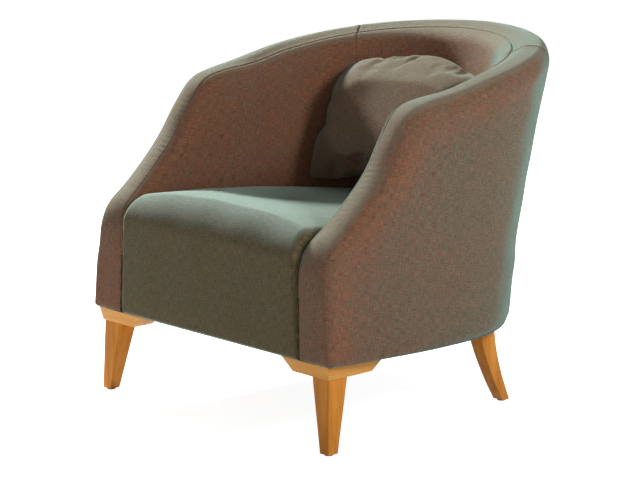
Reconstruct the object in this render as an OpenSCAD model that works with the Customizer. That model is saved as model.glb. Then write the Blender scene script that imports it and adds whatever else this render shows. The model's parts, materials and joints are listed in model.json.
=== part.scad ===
// Tub armchair with sloping arms: a bent and jointed wooden frame, padded walls that run round
// the back in one sweep, a webbed seat with a rolled front, oak legs and a loose cushion.
// The chair faces -Y. The origin is on the floor, under the middle of the chair.

/* [Overall] */
// Width across the fronts of the arms, at the bottom of the upholstery
front_w = 740; // [700:5:800]
// Depth from the arm fronts to the top of the back
chair_depth = 850; // [820:2:880]
// Depth of the upholstery at its bottom edge
base_depth = 712; // [690:2:736]
// Height of the back
chair_h = 760; // [730:2:796]
// Height of the upholstery's bottom edge
base_z = 182; // [170:1:196]
// Width of the straight part of the back, between the round corners
back_flat = 24; // [10:2:60]
// How far the sides bow outwards
side_bow = 15; // [0:1:20]
// How far the side walls lean inwards over the height of the back
side_tuck = 28; // [0:1:36]

/* [Walls] */
// Thickness of an arm at its rim
arm_t = 92; // [84:1:104]
// Thickness of the back at its rim
back_t = 110; // [100:1:124]
// Depth of the band that wraps the rim
band_k = 32; // [32:1:38]
// Radius of the rim's outer edge
rim_outer_r = 26; // [14:1:26]
// Radius of the arms' upright outer edges at the bottom
foot_edge_r = 9; // [6:1:14]
// Radius of the rim's inner edge
rim_inner_r = 12; // [6:1:18]
// Crown of the rim across its width
rim_crown = 4; // [0:0.5:5]
// Thickness of the covers, cloth and wadding together
cover_t = 3; // [2:0.5:4]
// Thickness of the outer boards
board_t = 3; // [2:0.5:4]
// Thickness of the bent frame rails and uprights across the wall
frame_t = 33; // [28:1:36]
// Thickness of the inner panels
panel_t = 3; // [2:0.5:4]
// Depth of the bent top rails below the band
top_rail_k = 34; // [26:1:44]
// Width of an upright along the wall
upright_w = 40; // [30:1:50]

/* [Seat] */
// Height of the seat at its sides, near the front
seat_z = 430; // [415:1:445]
// Crown of the seat above its sides
seat_crown = 24; // [10:1:32]
// Fall of the seat from front to back
seat_fall = 56; // [40:1:64]
// Radius of the rolled front edge
seat_roll_r = 52; // [40:1:60]
// Height of the seat rails
rail_h = 70; // [60:1:80]
// Thickness of the seat rails
rail_t = 25; // [20:1:28]
// Width of a webbing strap
web_w = 60; // [50:1:64]
// Thickness of the webbing
web_t = 2; // [1.5:0.5:3]

/* [Legs] */
// Length of a corner bracket along the front
bracket_x = 140; // [120:1:150]
// Length of a corner bracket along the side
bracket_y = 152; // [130:1:165]
// Height of the corner brackets
bracket_h = 29; // [24:1:34]
// Width of a bracket's arms
bracket_w = 58; // [54:1:64]
// How far a bracket's outer faces slope in towards its bottom
bracket_draw = 6; // [0:1:7]
// How far the brackets stand in from the upholstery
bracket_inset = 8; // [6:1:12]
// Width of a front leg at its top
leg_x = 47; // [42:1:49]
// Depth of a front leg at its top
leg_y = 49; // [44:1:49]
// Width and depth of a front leg at the floor
leg_foot = 25; // [22:1:32]
// How far a front leg's outer faces stand in from the bracket's top edge, at the leg's top
leg_top_in = 9; // [7:1:12]
// How far they stand in at the floor
leg_foot_in = 4; // [0:1:8]
// Width of a rear leg at its top
rear_leg_x = 38; // [32:1:44]
// Depth of a rear leg at its top
rear_leg_y = 45; // [40:1:50]
// Depth of a rear leg at the floor
rear_foot_y = 20; // [19:1:28]
// How far the rear legs sweep back
rear_sweep = 66; // [40:1:80]
// How far a rear leg's middle stands in from the wall's outer face, across the chair
rear_leg_in = 50; // [44:1:58]
// Distance from the arm fronts to a rear leg's top middle
rear_leg_at_y = 510; // [495:1:518]
// Diameter of the glides
glide_d = 17; // [14:1:19]
// Thickness of the glides
glide_t = 3; // [2:0.5:4]

/* [Cushion] */
// Width of the loose cushion
cushion_w = 430; // [400:5:440]
// Height of the loose cushion
cushion_h = 290; // [270:2:300]
// Thickness of the loose cushion
cushion_t = 112; // [90:1:120]
// How far the cushion's bottom seam lies in from the outer face of the back, at the base
cushion_foot_in = 228; // [216:2:246]
// Thickness of the cushion's cover
cushion_skin = 2; // [1:0.5:3]

/* [Hidden] */
$fn = 48;

// Clearance between a piece and the one that it lies against
gap = 0.4;
// Thickness of a cut's overrun
over = 1;
// Room behind the arms' front edges, which run slightly back as they rise
front_room = 0.9;
rail_room = 3.2;
// Room between the bent frame pieces and the boards and panels, which lie in flat facets
frame_room = 1;
// Room between the rim's padding and the bent rail and foam below it
pad_room = 0.8;
// Half the width at the front, and the round corners that the back leaves room for
half_w = front_w / 2;
corner_r = (front_w - back_flat) / 2;
side_len = base_depth - corner_r;
arc_len = corner_r * PI / 2;
path_len = side_len + arc_len + back_flat / 2;
wall_h = chair_h - base_z;
// How much of the walls' lean is even, the rest grows with height
even_share = 0.8;
// Where along the path the lean starts to turn outwards, and where the wall starts to thicken
lean_start_share = 0.22;
thick_share = [0.22, 0.65];
// Length of the bow in the sides, in side lengths
bow_share = 1.3;
// The rim line in the unrolled wall: shares of the path and shares of the wall's height
rim_share = [[0, 0], [0.003, 0.2], [0.007, 0.322], [0.026, 0.393], [0.069, 0.447],
    [0.125, 0.522], [0.181, 0.614], [0.227, 0.713], [0.268, 0.792], [0.324, 0.836],
    [0.41, 0.872], [0.55, 0.919], [0.735, 0.967], [0.864, 0.99], [1, 1]];
// The rim's cross seams lie at this point of the rim line, and the walls start at this one
seam_index = 12;
wall_index = 2;
// Steps between the rim line's points, finer from this point on, where the wall turns
round_index = 10;
rim_steps = 2;
back_steps = 4;
wall_rows = 4;
edge_steps = 4;

// Levels of the seat's base
rail_bottom = base_z + gap;
rail_top = rail_bottom + rail_h;
web_top = rail_top + gap + 2 * web_t + gap;
tuck_z = web_top + gap;
// Wall layers, measured in from the outer face
board_d = cover_t + gap;
frame_d = board_d + board_t + gap;
panel_d = frame_d + frame_t + gap;
foam_d = panel_d + panel_t + gap;
// Side rails stand straight inside the leaning and bowed board
rail_inset = frame_d + side_tuck * rail_h / wall_h;
rail_front = band_k + rail_room;

function smooth(t) = let (c = max(0, min(1, t))) c * c * (3 - 2 * c);
function fold(s) = s <= path_len ? s : 2 * path_len - s;
function hand(s) = s <= path_len ? 1 : -1;
function turn(s) = max(0, min(90, (fold(s) - side_len) / arc_len * 90));
function plan(s) =
    let (f = fold(s), a = turn(s))
    f <= side_len ? [half_w, f]
    : a < 90 ? [back_flat / 2 + corner_r * cos(a), side_len + corner_r * sin(a)]
    : [path_len - f, base_depth];
function bow(s) =
    let (t = fold(s) / (bow_share * side_len))
    t < 1 ? side_bow * (1 - cos(360 * t)) / 2 : 0;
function rise(z) = (z - base_z) * (even_share + (1 - even_share) * (z - base_z) / wall_h);
side_lean = -side_tuck / wall_h;
back_lean = (chair_depth - base_depth) / rise(chair_h - rim_outer_r);
function lean(s) =
    side_lean + (back_lean - side_lean)
    * smooth((fold(s) / path_len - lean_start_share) / (1 - lean_start_share));
function wall_t(s) =
    arm_t + (back_t - arm_t)
    * smooth((fold(s) / path_len - thick_share[0]) / (thick_share[1] - thick_share[0]));
// A point of the walls: s along the path from the right arm's front, z up, d in from outside
function at(s, z, d) =
    let (p = plan(s), a = turn(s), o = bow(s) + lean(s) * rise(z) - d)
    [hand(s) * (p.x + cos(a) * o), p.y + sin(a) * o - chair_depth / 2, z];

// The rim line as a smooth curve through its points, with its upward normal
rim_pts = [for (p = rim_share) [p[0] * path_len, base_z + p[1] * wall_h]];
function unit(v) = v / norm(v);
function rim_dir(i) = unit(rim_pts[min(i + 1, len(rim_pts) - 1)] - rim_pts[max(i - 1, 0)]);
function rim_tan(i) = i == 0 ? [0, 1] : i == len(rim_pts) - 1 ? [1, 0] : rim_dir(i);
function hermite(a, b, u, v, t) =
    (2 * t ^ 3 - 3 * t ^ 2 + 1) * a + (t ^ 3 - 2 * t ^ 2 + t) * u
    + (3 * t ^ 2 - 2 * t ^ 3) * b + (t ^ 3 - t ^ 2) * v;
function slope(a, b, u, v, t) =
    (6 * t ^ 2 - 6 * t) * (a - b) + (3 * t ^ 2 - 4 * t + 1) * u + (3 * t ^ 2 - 2 * t) * v;
function rim_at(i, t) =
    let (a = rim_pts[i], b = rim_pts[i + 1], l = norm(b - a), u = l * rim_tan(i),
        v = l * rim_tan(i + 1), p = hermite(a, b, u, v, t), d = unit(slope(a, b, u, v, t)))
    [p.x, p.y, -d.y, d.x];
function flip(r) = [2 * path_len - r[0], r[1], -r[2], r[3]];
function reversed(v) = [for (i = [len(v) - 1:-1:0]) v[i]];
last = len(rim_pts) - 2;
arm_line = concat(
    [for (i = [0:round_index - 1], k = [0:rim_steps - 1]) rim_at(i, k / rim_steps)],
    [for (i = [round_index:seam_index - 1], k = [0:back_steps - 1]) rim_at(i, k / back_steps)],
    [rim_at(seam_index - 1, 1)]);
half_line = [for (i = [seam_index:last], k = [0:back_steps - 1]) rim_at(i, k / back_steps)];
middle = [rim_at(last, 1)];
back_line = concat(half_line, middle, reversed([for (r = half_line) flip(r)]));
// A rim station's point at depth k, moved in by e at the back's ends to leave a seam
function under(r, k) = [r[0] - k * r[2], r[1] - k * r[3]];
wall_first = wall_index * rim_steps;
arm_wall = [for (i = [wall_first:len(arm_line) - 1])
    under(arm_line[i], band_k + gap) + [i == wall_first ? front_room : 0, 0]];
back_ends = [for (i = [0:len(back_line) - 1]) i == 0 ? gap : i == len(back_line) - 1 ? -gap : 0];
back_wall = [for (i = [0:len(back_line) - 1])
    under(back_line[i], band_k + gap) + [back_ends[i], 0]];

// A closed solid between two grids of points, the first seen from outside
module grid_solid(a, b) {
    n = len(a);
    m = len(a[0]);
    h = n * m;
    function id(g, i, j) = g * h + i * m + j;
    faces = concat(
        [for (i = [0:n - 2], j = [0:m - 2], k = [0, 1])
            k == 0 ? [id(0, i, j), id(0, i, j + 1), id(0, i + 1, j + 1)]
            : [id(0, i, j), id(0, i + 1, j + 1), id(0, i + 1, j)]],
        [for (i = [0:n - 2], j = [0:m - 2], k = [0, 1])
            k == 0 ? [id(1, i, j), id(1, i + 1, j + 1), id(1, i, j + 1)]
            : [id(1, i, j), id(1, i + 1, j), id(1, i + 1, j + 1)]],
        [for (i = [0:n - 2], k = [0, 1])
            k == 0 ? [id(0, i, 0), id(0, i + 1, 0), id(1, i + 1, 0)]
            : [id(0, i, 0), id(1, i + 1, 0), id(1, i, 0)]],
        [for (i = [0:n - 2], k = [0, 1])
            k == 0 ? [id(0, i, m - 1), id(1, i + 1, m - 1), id(0, i + 1, m - 1)]
            : [id(0, i, m - 1), id(1, i, m - 1), id(1, i + 1, m - 1)]],
        [for (j = [0:m - 2], k = [0, 1])
            k == 0 ? [id(0, 0, j), id(1, 0, j), id(1, 0, j + 1)]
            : [id(0, 0, j), id(1, 0, j + 1), id(0, 0, j + 1)]],
        [for (j = [0:m - 2], k = [0, 1])
            k == 0 ? [id(0, n - 1, j), id(1, n - 1, j + 1), id(1, n - 1, j)]
            : [id(0, n - 1, j), id(0, n - 1, j + 1), id(1, n - 1, j + 1)]]);
    polyhedron(points = concat([for (r = a, p = r) p], [for (r = b, p = r) p]), faces = faces);
}

// A slab of wall below the band, from bottom z up to the rim line, between two depths.
// A depth is a share of the wall's thickness and a length added to it.
function depth(s, d) = d[0] * wall_t(s) + d[1];
function slab_grid(line, bottom, d) =
    [for (i = [0:len(line) - 1])
        let (s1 = line[i][0], s0 = i == 0 && line == arm_wall ? band_k + gap + front_room : s1)
        [for (k = [0:wall_rows])
            let (t = k / wall_rows, s = s0 + (s1 - s0) * t,
                z = bottom + (line[i][1] - bottom) * t)
            at(s, z, depth(s, d))]];
module slab(line, bottom, d_out, d_in) {
    grid_solid(slab_grid(line, bottom, d_out), slab_grid(line, bottom, d_in));
}

// The rim's outer edge is tight at the foot of the arm and opens out as it climbs
edge_open_share = 0.4;
function outer_r(z) =
    foot_edge_r + (rim_outer_r - foot_edge_r) * smooth((z - base_z) / (edge_open_share * wall_h));
// The rim's section at a station: a crowned loaf, as points of [d, k], set in by an inset e
function loaf(r, e) =
    let (t = wall_t(r[0]), ro = outer_r(r[1]) - e, ri = rim_inner_r - e, top = rim_crown + e,
        low = band_k)
    concat([[e, low]],
        [for (i = [0:edge_steps]) let (a = 90 * i / edge_steps)
            [e + ro * (1 - cos(a)), top + ro * (1 - sin(a))]],
        [[t / 2, e]],
        [for (i = [edge_steps:-1:0]) let (a = 90 * i / edge_steps)
            [t - e - ri * (1 - cos(a)), top + ri * (1 - sin(a))]],
        [[t - e, low]]);
function rim_pt(r, d, k, shift) =
    let (q = under(r, k)) at(q.x + shift, max(q.y, base_z), d);
function loaf_grid(line, shifts, e) =
    [for (i = [0:len(line) - 1])
        [for (p = loaf(line[i], e)) rim_pt(line[i], p[0], p[1], shifts[i])]];
no_shift = [for (r = arm_line) 0];
module band(line, shifts) {
    grid_solid(loaf_grid(line, shifts, 0), loaf_grid(line, shifts, cover_t));
}
function flat_grid(line, shifts, e, k) =
    [for (i = [0:len(line) - 1])
        [for (p = loaf(line[i], e)) rim_pt(line[i], p[0], k, shifts[i])]];
module rim_pad(line, shifts) {
    e = cover_t + gap;
    grid_solid([for (r = loaf_grid(line, shifts, e)) [for (i = [1:len(r) - 2]) r[i]]],
        [for (r = flat_grid(line, shifts, e, band_k - pad_room)) [for (i = [1:len(r) - 2]) r[i]]]);
}

// The bent rail under the rim
rail_k = [band_k + gap + top_rail_k, band_k + gap];
function rail_grid(line, shifts, d, floor_z) =
    [for (i = [0:len(line) - 1])
        [for (k = rail_k) let (q = under(line[i], k)) at(q.x + shifts[i], max(q.y, floor_z), d)]];
module bent_rail(line, shifts, floor_z) {
    grid_solid(rail_grid(line, shifts, frame_d + frame_room, floor_z),
        rail_grid(line, shifts, frame_d + frame_t - frame_room, floor_z));
}

front_y = -chair_depth / 2;
inner_half = half_w - arm_t;

module timber() { color([0.80, 0.66, 0.46]) children(); }
module cloth() { color([0.42, 0.42, 0.37]) children(); }
module foam() { color([0.93, 0.88, 0.70]) children(); }
module oak() { color([0.78, 0.52, 0.26]) children(); }
module steel() { color([0.66, 0.67, 0.68]) children(); }
module left() { mirror([1, 0, 0]) children(); }

/* Frame */
rail_x = half_w - rail_inset;
// Screws: shank, head and how deep they reach, and their places along a bracket's arms
screw_d = 5;
screw_head_d = 10;
screw_head_h = 4;
screw_fit = 0.1;
screw_l = 50;
bracket_screw_share = [0.55, 0.82];
function bracket_holes() = concat(
    [for (t = bracket_screw_share)
        [half_w - bracket_inset - t * bracket_x, front_y + rail_front + rail_t / 2]],
    [for (t = bracket_screw_share)
        [rail_x - rail_t / 2, front_y + bracket_inset + t * bracket_y]]);
module bracket_bores(d, z0, l) {
    for (p = bracket_holes()) translate([p.x, p.y, z0]) cylinder(d = d, h = l);
}

module front_rail() {
    timber() difference() {
        translate([-rail_x + rail_t + gap, front_y + rail_front, rail_bottom])
            cube([2 * (rail_x - rail_t - gap), rail_t, rail_h]);
        bracket_bores(screw_d + screw_fit, rail_bottom - over, screw_l);
        left() bracket_bores(screw_d + screw_fit, rail_bottom - over, screw_l);
    }
}
module side_rail() {
    timber() difference() {
        translate([rail_x - rail_t, front_y + rail_front, rail_bottom])
            cube([rail_t, side_len - rail_front, rail_h]);
        bracket_bores(screw_d + screw_fit, rail_bottom - over, screw_l);
    }
}
rear_rail_steps = 11;
module rear_rail() {
    ends = [side_len + gap, 2 * path_len - side_len - gap];
    n = 2 * rear_rail_steps;
    line = [for (i = [0:n]) ends[0] + (ends[1] - ends[0]) * i / n];
    timber() grid_solid(
        [for (s = line) [for (z = [rail_bottom, rail_top]) at(s, z, frame_d + frame_room)]],
        [for (s = line) [for (z = [rail_bottom, rail_top]) at(s, z, frame_d + rail_t)]]);
}
// Glued blocks in the front corners of the base
block_leg = 60;
module corner_block() {
    translate([rail_x - rail_t - gap, front_y + rail_front + rail_t + gap, rail_bottom])
        linear_extrude(rail_h - web_t)
        polygon([[0, 0], [-block_leg, 0], [0, block_leg]]);
}
module corner_blocks() { timber() { corner_block(); left() corner_block(); } }
// Blocks inside the rear rail that carry the rear legs
rear_block_h = 38;
rear_block_w = 64;
rear_block_l = 110;
rear_leg_turn = asin((rear_leg_at_y - side_len) / corner_r);
rear_leg_at_x = back_flat / 2 + corner_r * cos(rear_leg_turn) - rear_leg_in;
rear_leg_s = side_len + rear_leg_turn / 90 * arc_len;
hanger_d = 8;
hanger_fit = 0.1;
nut_barrel_d = 10;
nut_barrel_h = 8;
nut_flange_d = 20;
nut_flange_t = 1.5;
block_room = 1.6;
block_d = frame_d + rail_t + block_room;
rear_block_steps = 4;
module rear_leg_block() {
    s0 = rear_leg_s - rear_block_l / 2;
    line = [for (i = [0:rear_block_steps]) s0 + rear_block_l * i / rear_block_steps];
    z = [rail_bottom, rail_bottom + rear_block_h];
    difference() {
        grid_solid([for (s = line) [for (h = z) at(s, h, block_d)]],
            [for (s = line) [for (h = z) at(s, h, block_d + rear_block_w)]]);
        translate([rear_leg_at_x, front_y + rear_leg_at_y, rail_bottom - over]) {
            cylinder(d = hanger_d + hanger_fit, h = rear_block_h + 2 * over);
            translate([0, 0, over + rear_block_h - nut_barrel_h])
                cylinder(d = nut_barrel_d + hanger_fit, h = nut_barrel_h + over);
        }
    }
}
module rear_leg_blocks() { timber() { rear_leg_block(); left() rear_leg_block(); } }

// The arm's bent rail stands on the webbing's level with an upright foot
arm_rail_foot = web_top + gap;
arm_rail_line = concat([[arm_line[1][0], arm_rail_foot, -1, 0]],
    [for (i = [rim_steps:len(arm_line) - 1]) arm_line[i]]);
module arm_rail() { timber() bent_rail(arm_rail_line, no_shift, arm_rail_foot); }
module back_top_rail() { timber() bent_rail(back_line, back_ends, rail_top); }
// Uprights at these shares of the path, from the base rails to the bent rails
upright_share = [0.28, 0.46, 0.62, 0.935];
upright_rows = 3;
// Free height left above an upright, where it is let into the bent rail
upright_free = 2;
function line_z(s, k) =
    let (f = fold(s), line = [for (r = concat(arm_line, half_line, middle)) under(r, k)])
    lookup(f, [for (p = line) if (p.x > band_k + k) p]);
module upright(share) {
    s = share * path_len;
    e = [s - upright_w / 2, s + upright_w / 2];
    top = min([for (x = [e[0], s, e[1]]) line_z(x, rail_k[0])]) - upright_free;
    z0 = rail_top + gap;
    z = [for (i = [0:upright_rows]) z0 + (top - z0) * i / upright_rows];
    grid_solid([for (x = [e[0], s, e[1]]) [for (h = z) at(x, h, frame_d + frame_room)]],
        [for (x = [e[0], s, e[1]]) [for (h = z) at(x, h, frame_d + frame_t - frame_room)]]);
}
module uprights() {
    timber() for (u = upright_share) { upright(u); left() upright(u); }
}

/* Webbing under the seat foam */
web_count = 5;
cross_count = 3;
web_span_share = 0.8;
cross_span_share = [0.26, 0.9];
function rear_y(x, d) =
    let (r = corner_r - d, e = max(0, abs(x) - back_flat / 2)) side_len + sqrt(r * r - e * e);
module seat_webbing() {
    span = web_span_share * inner_half;
    color([0.25, 0.24, 0.22]) {
        for (i = [0:web_count - 1]) {
            x = -span + 2 * span * i / (web_count - 1);
            edge = abs(x) + web_w / 2;
            translate([x - web_w / 2, front_y + rail_front, rail_top + gap])
                cube([web_w, rear_y(edge, frame_d + web_t) - rail_front, web_t]);
        }
        for (i = [0:cross_count - 1]) {
            t = cross_span_share[0] + (cross_span_share[1] - cross_span_share[0])
                * i / (cross_count - 1);
            y = t * side_len;
            translate([-rail_x, front_y + y - web_w / 2, rail_top + 2 * gap + web_t])
                cube([2 * rail_x, web_w, web_t]);
        }
    }
}

/* Boards, panels and foam of the walls */
module board() { color([0.55, 0.43, 0.30]) children(); }
module panel() { color([0.62, 0.50, 0.36]) children(); }
board_ds = [[0, board_d], [0, board_d + board_t]];
panel_ds = [[0, panel_d], [0, panel_d + panel_t]];
module outer_board() { board() slab(arm_wall, rail_bottom, board_ds[0], board_ds[1]); }
module outer_board_back() { board() slab(back_wall, rail_bottom, board_ds[0], board_ds[1]); }
module inner_panel() { panel() slab(arm_wall, tuck_z, panel_ds[0], panel_ds[1]); }
module inner_panel_back() { panel() slab(back_wall, tuck_z, panel_ds[0], panel_ds[1]); }
module arm_foam() { foam() slab(arm_wall, tuck_z, [0, foam_d], [1, -cover_t - gap]); }
module back_foam() { foam() slab(back_wall, tuck_z, [0, foam_d], [1, -cover_t - gap]); }
module rim_pad_arm() { foam() rim_pad(arm_line, no_shift); }
module rim_pad_back() { foam() rim_pad(back_line, back_ends); }

/* Covers of the walls */
module rim_band() { cloth() band(arm_line, no_shift); }
module rim_band_back() { cloth() band(back_line, back_ends); }
module outer_cover() { cloth() slab(arm_wall, base_z, [0, 0], [0, cover_t]); }
module outer_cover_back() { cloth() slab(back_wall, base_z, [0, 0], [0, cover_t]); }
module inner_cover() { cloth() slab(arm_wall, tuck_z, [1, -cover_t], [1, 0]); }
module inner_cover_back() { cloth() slab(back_wall, tuck_z, [1, -cover_t], [1, 0]); }

/* Seat */
// Stations of the seat's top along the wall's inner face, as shares of the path
seat_share = [0.11, 0.17, 0.24, 0.31, 0.38, 0.45, 0.52, 0.59, 0.66, 0.74, 0.82, 0.91];
roll_steps = 4;
seat_cols = 10;
front_rows_share = [0, 0.5];
// The seat's side height at a place along the path
function seat_side(s) = seat_z - seat_fall * max(0, s - seat_roll_r) / (path_len - seat_roll_r);
// The profile's stations as [s, z], set in by e
function seat_rows(e, low) = concat(
    [for (t = front_rows_share) [e, low + (seat_z - seat_roll_r - low) * t]],
    [for (i = [0:roll_steps]) let (a = 90 * i / roll_steps)
        [e + (seat_roll_r - e) * (1 - cos(a)),
            seat_z - seat_roll_r + (seat_roll_r - e) * sin(a)]],
    [for (t = seat_share) [t * path_len, seat_side(t * path_len) - e]]);
// The seat's surface: straight rows across, each with its share of the crown
function seat_grid(e, low, side_gap) =
    let (rows = seat_rows(e, low), n = len(front_rows_share))
    [for (i = [0:len(rows) - 1])
        let (q = rows[i], p = at(q[0], q[1], wall_t(q[0]) + side_gap),
            lift = seat_crown * max(0, min(1, (i - n) / roll_steps)))
        [for (j = [0:seat_cols]) let (x = 1 - 2 * j / seat_cols)
            [x * p.x, p.y, p.z + lift * (1 - x * x)]]];
module seat_cover() {
    cloth() grid_solid(seat_grid(0, base_z, gap), seat_grid(cover_t, base_z, gap));
}
foam_low = web_top + gap;
foam_room = 1.3;
module seat_foam() {
    e = cover_t + gap;
    first = len(front_rows_share);
    top = seat_grid(e, foam_low, foam_room);
    rows = seat_rows(e, foam_low);
    low = [for (i = [first:len(top) - 1])
        let (s = rows[i][0], p = at(s, foam_low, wall_t(s) + foam_room))
        [for (r = top[i]) [r.x / top[i][0].x * min(p.x, top[i][0].x), p.y, foam_low]]];
    foam() grid_solid([for (i = [first:len(top) - 1]) top[i]], low);
}
module seat_front_pad() {
    e = cover_t + gap;
    foam() translate([-inner_half + e, front_y + e, base_z + gap])
        cube([2 * (inner_half - e), rail_front - e - gap, foam_low - base_z - 2 * gap]);
}

/* Underside */
dust_t = 1;
dust_d = 22;
// Stations of its edge along the path
dust_share = [0.19, 0.24, 0.29, 0.34, 0.39, 0.44, 0.49, 0.54, 0.59, 0.64, 0.69, 0.74, 0.79, 0.84,
    0.89, 0.94, 1];
module dust_cover() {
    z = base_z - dust_t;
    side = [for (t = dust_share) let (p = at(t * path_len, base_z, dust_d)) [p.x, p.y]];
    bx = half_w - bracket_inset - bracket_x - gap;
    by = front_y + bracket_inset + bracket_w + gap;
    front = [[bx, front_y + rail_front + gap], [bx, by],
        [half_w - bracket_inset - bracket_w - gap, by],
        [half_w - bracket_inset - bracket_w - gap, front_y + bracket_inset + bracket_y + gap]];
    right = concat(front, side);
    color([0.12, 0.12, 0.12]) difference() {
        translate([0, 0, z]) linear_extrude(dust_t)
            polygon(concat(right, reversed([for (p = right) [-p.x, p.y]])));
        for (h = [1, -1]) translate([h * rear_leg_at_x, front_y + rear_leg_at_y, z - over])
            cylinder(d = hanger_d + 2 * gap, h = dust_t + 2 * over);
    }
}

/* Legs and brackets */
bracket_top = base_z;
bracket_low = bracket_top - bracket_h;
leg_x1 = half_w - bracket_inset;
leg_y0 = front_y + bracket_inset;
// A prism along X from its side view, and one along Y from its front view
module along_x(x, l, outline) {
    translate([x, 0, 0]) rotate([90, 0, 90]) linear_extrude(l) polygon(outline);
}
module along_y(y, l, outline) {
    translate([0, y + l, 0]) rotate([90, 0, 0]) linear_extrude(l) polygon(outline);
}
module bracket_block() {
    x0 = leg_x1 - bracket_x;
    y1 = leg_y0 + bracket_y;
    intersection() {
        union() {
            along_y(leg_y0, bracket_w, [[leg_x1, bracket_top], [x0, bracket_top],
                [x0 + bracket_h, bracket_low], [leg_x1, bracket_low]]);
            along_x(leg_x1 - bracket_w, bracket_w, [[leg_y0, bracket_top], [y1, bracket_top],
                [y1 - bracket_h, bracket_low], [leg_y0, bracket_low]]);
        }
        along_x(x0 - over, bracket_x + 2 * over, [[leg_y0, bracket_top], [y1, bracket_top],
            [y1, bracket_low], [leg_y0 + bracket_draw, bracket_low]]);
        along_y(leg_y0 - over, bracket_y + 2 * over, [[leg_x1, bracket_top], [x0, bracket_top],
            [x0, bracket_low], [leg_x1 - bracket_draw, bracket_low]]);
    }
}
// Two dowels join a front leg to its bracket
dowel_d = 10;
dowel_l = 36;
dowel_fit = 0.05;
dowel_share = [0.3, 0.7];
module dowel_rods(extra) {
    for (t = dowel_share)
        translate([leg_x1 - leg_top_in - leg_x * t, leg_y0 + leg_top_in + leg_y * t,
            bracket_low - dowel_l / 2 - extra])
            cylinder(d = dowel_d + 2 * extra, h = dowel_l + 2 * extra);
}
module front_bracket() {
    oak() difference() {
        bracket_block();
        bracket_bores(screw_d + screw_fit, bracket_low - over, bracket_h + 2 * over);
        bracket_bores(screw_head_d + screw_fit, bracket_low - over, screw_head_h + over);
        dowel_rods(dowel_fit);
    }
}
module leg_glide_pins(d, extra) {
    for (p = glide_places()) translate([p.x, p.y, glide_t]) cylinder(d = d, h = pin_l + extra);
}
pin_l = 12;
pin_d = 3;
function glide_places() = [
    [leg_x1 - leg_foot_in - leg_foot / 2, leg_y0 + leg_foot_in + leg_foot / 2],
    [rear_leg_at_x, front_y + rear_leg_at_y + rear_sweep]];
module front_leg() {
    z0 = glide_t;
    z1 = bracket_low - gap;
    oak() difference() {
        intersection() {
            along_y(leg_y0, leg_top_in + leg_y,
                [[leg_x1 - leg_top_in, z1], [leg_x1 - leg_top_in - leg_x, z1],
                [leg_x1 - leg_foot_in - leg_foot, z0], [leg_x1 - leg_foot_in, z0]]);
            along_x(leg_x1 - leg_top_in - leg_x, leg_top_in + leg_x,
                [[leg_y0 + leg_top_in, z1], [leg_y0 + leg_top_in + leg_y, z1],
                [leg_y0 + leg_foot_in + leg_foot, z0], [leg_y0 + leg_foot_in, z0]]);
        }
        dowel_rods(dowel_fit);
        leg_glide_pins(pin_d + dowel_fit, dowel_fit);
    }
}
// The swept rear leg: its side view is drawn with curves, its back view with a taper
rear_foot_x_share = 0.72;
sweep_steps = 8;
sweep_power = 1.5;
module rear_leg() {
    z0 = glide_t;
    z1 = base_z - dust_t - gap;
    y = front_y + rear_leg_at_y;
    function sweep(t) = rear_sweep * (1 - t) ^ sweep_power;
    function half(t) = (rear_foot_y + (rear_leg_y - rear_foot_y) * t) / 2;
    front = [for (i = [0:sweep_steps]) let (t = i / sweep_steps)
        [y + sweep(t) - half(t), z0 + (z1 - z0) * t]];
    back = [for (i = [sweep_steps:-1:0]) let (t = i / sweep_steps)
        [y + sweep(t) + half(t), z0 + (z1 - z0) * t]];
    foot = rear_leg_x * rear_foot_x_share;
    oak() difference() {
        intersection() {
            along_x(rear_leg_at_x - rear_leg_x / 2, rear_leg_x, concat(front, back));
            along_y(y - rear_leg_y, rear_sweep + 2 * rear_leg_y,
                [[rear_leg_at_x - foot / 2, z0], [rear_leg_at_x + foot / 2, z0],
                [rear_leg_at_x + rear_leg_x / 2, z1], [rear_leg_at_x - rear_leg_x / 2, z1]]);
        }
        translate([rear_leg_at_x, y, z1 - hanger_down])
            cylinder(d = hanger_d + hanger_fit, h = hanger_down + over);
        leg_glide_pins(pin_d + dowel_fit, dowel_fit);
    }
}
hanger_down = 46;
hanger_up = 30;

/* Hardware */
module bracket_screw_set() {
    for (p = bracket_holes()) translate([p.x, p.y, bracket_low]) {
        cylinder(d = screw_head_d, h = screw_head_h);
        cylinder(d = screw_d, h = screw_l);
    }
}
module bracket_screws() { steel() { bracket_screw_set(); left() bracket_screw_set(); } }
module leg_dowels() { timber() { dowel_rods(0); left() dowel_rods(0); } }
module hanger_bolt() {
    translate([rear_leg_at_x, front_y + rear_leg_at_y, base_z - dust_t - gap - hanger_down])
        cylinder(d = hanger_d, h = hanger_down + hanger_up);
}
module hanger_bolts() { steel() { hanger_bolt(); left() hanger_bolt(); } }
module tee_nut() {
    z = rail_bottom + rear_block_h;
    translate([rear_leg_at_x, front_y + rear_leg_at_y, z]) difference() {
        union() {
            translate([0, 0, -nut_barrel_h]) cylinder(d = nut_barrel_d, h = nut_barrel_h);
            cylinder(d = nut_flange_d, h = nut_flange_t);
        }
        translate([0, 0, -nut_barrel_h - over])
            cylinder(d = hanger_d + hanger_fit, h = nut_barrel_h + nut_flange_t + 2 * over);
    }
}
module tee_nuts() { steel() { tee_nut(); left() tee_nut(); } }
module glide_set() {
    for (p = glide_places()) translate([p.x, p.y, 0]) {
        cylinder(d = glide_d, h = glide_t);
        cylinder(d = pin_d, h = glide_t + pin_l);
    }
}
module leg_glides() { color([0.15, 0.14, 0.13]) { glide_set(); left() glide_set(); } }

/* Loose cushion */
cushion_cols = 12;
cushion_rows = 10;
// How far the sides draw in between the corners, and how full the form is
pinch_share = 0.03;
fullness = 0.42;
edge_t_share = 0.02;
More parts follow.
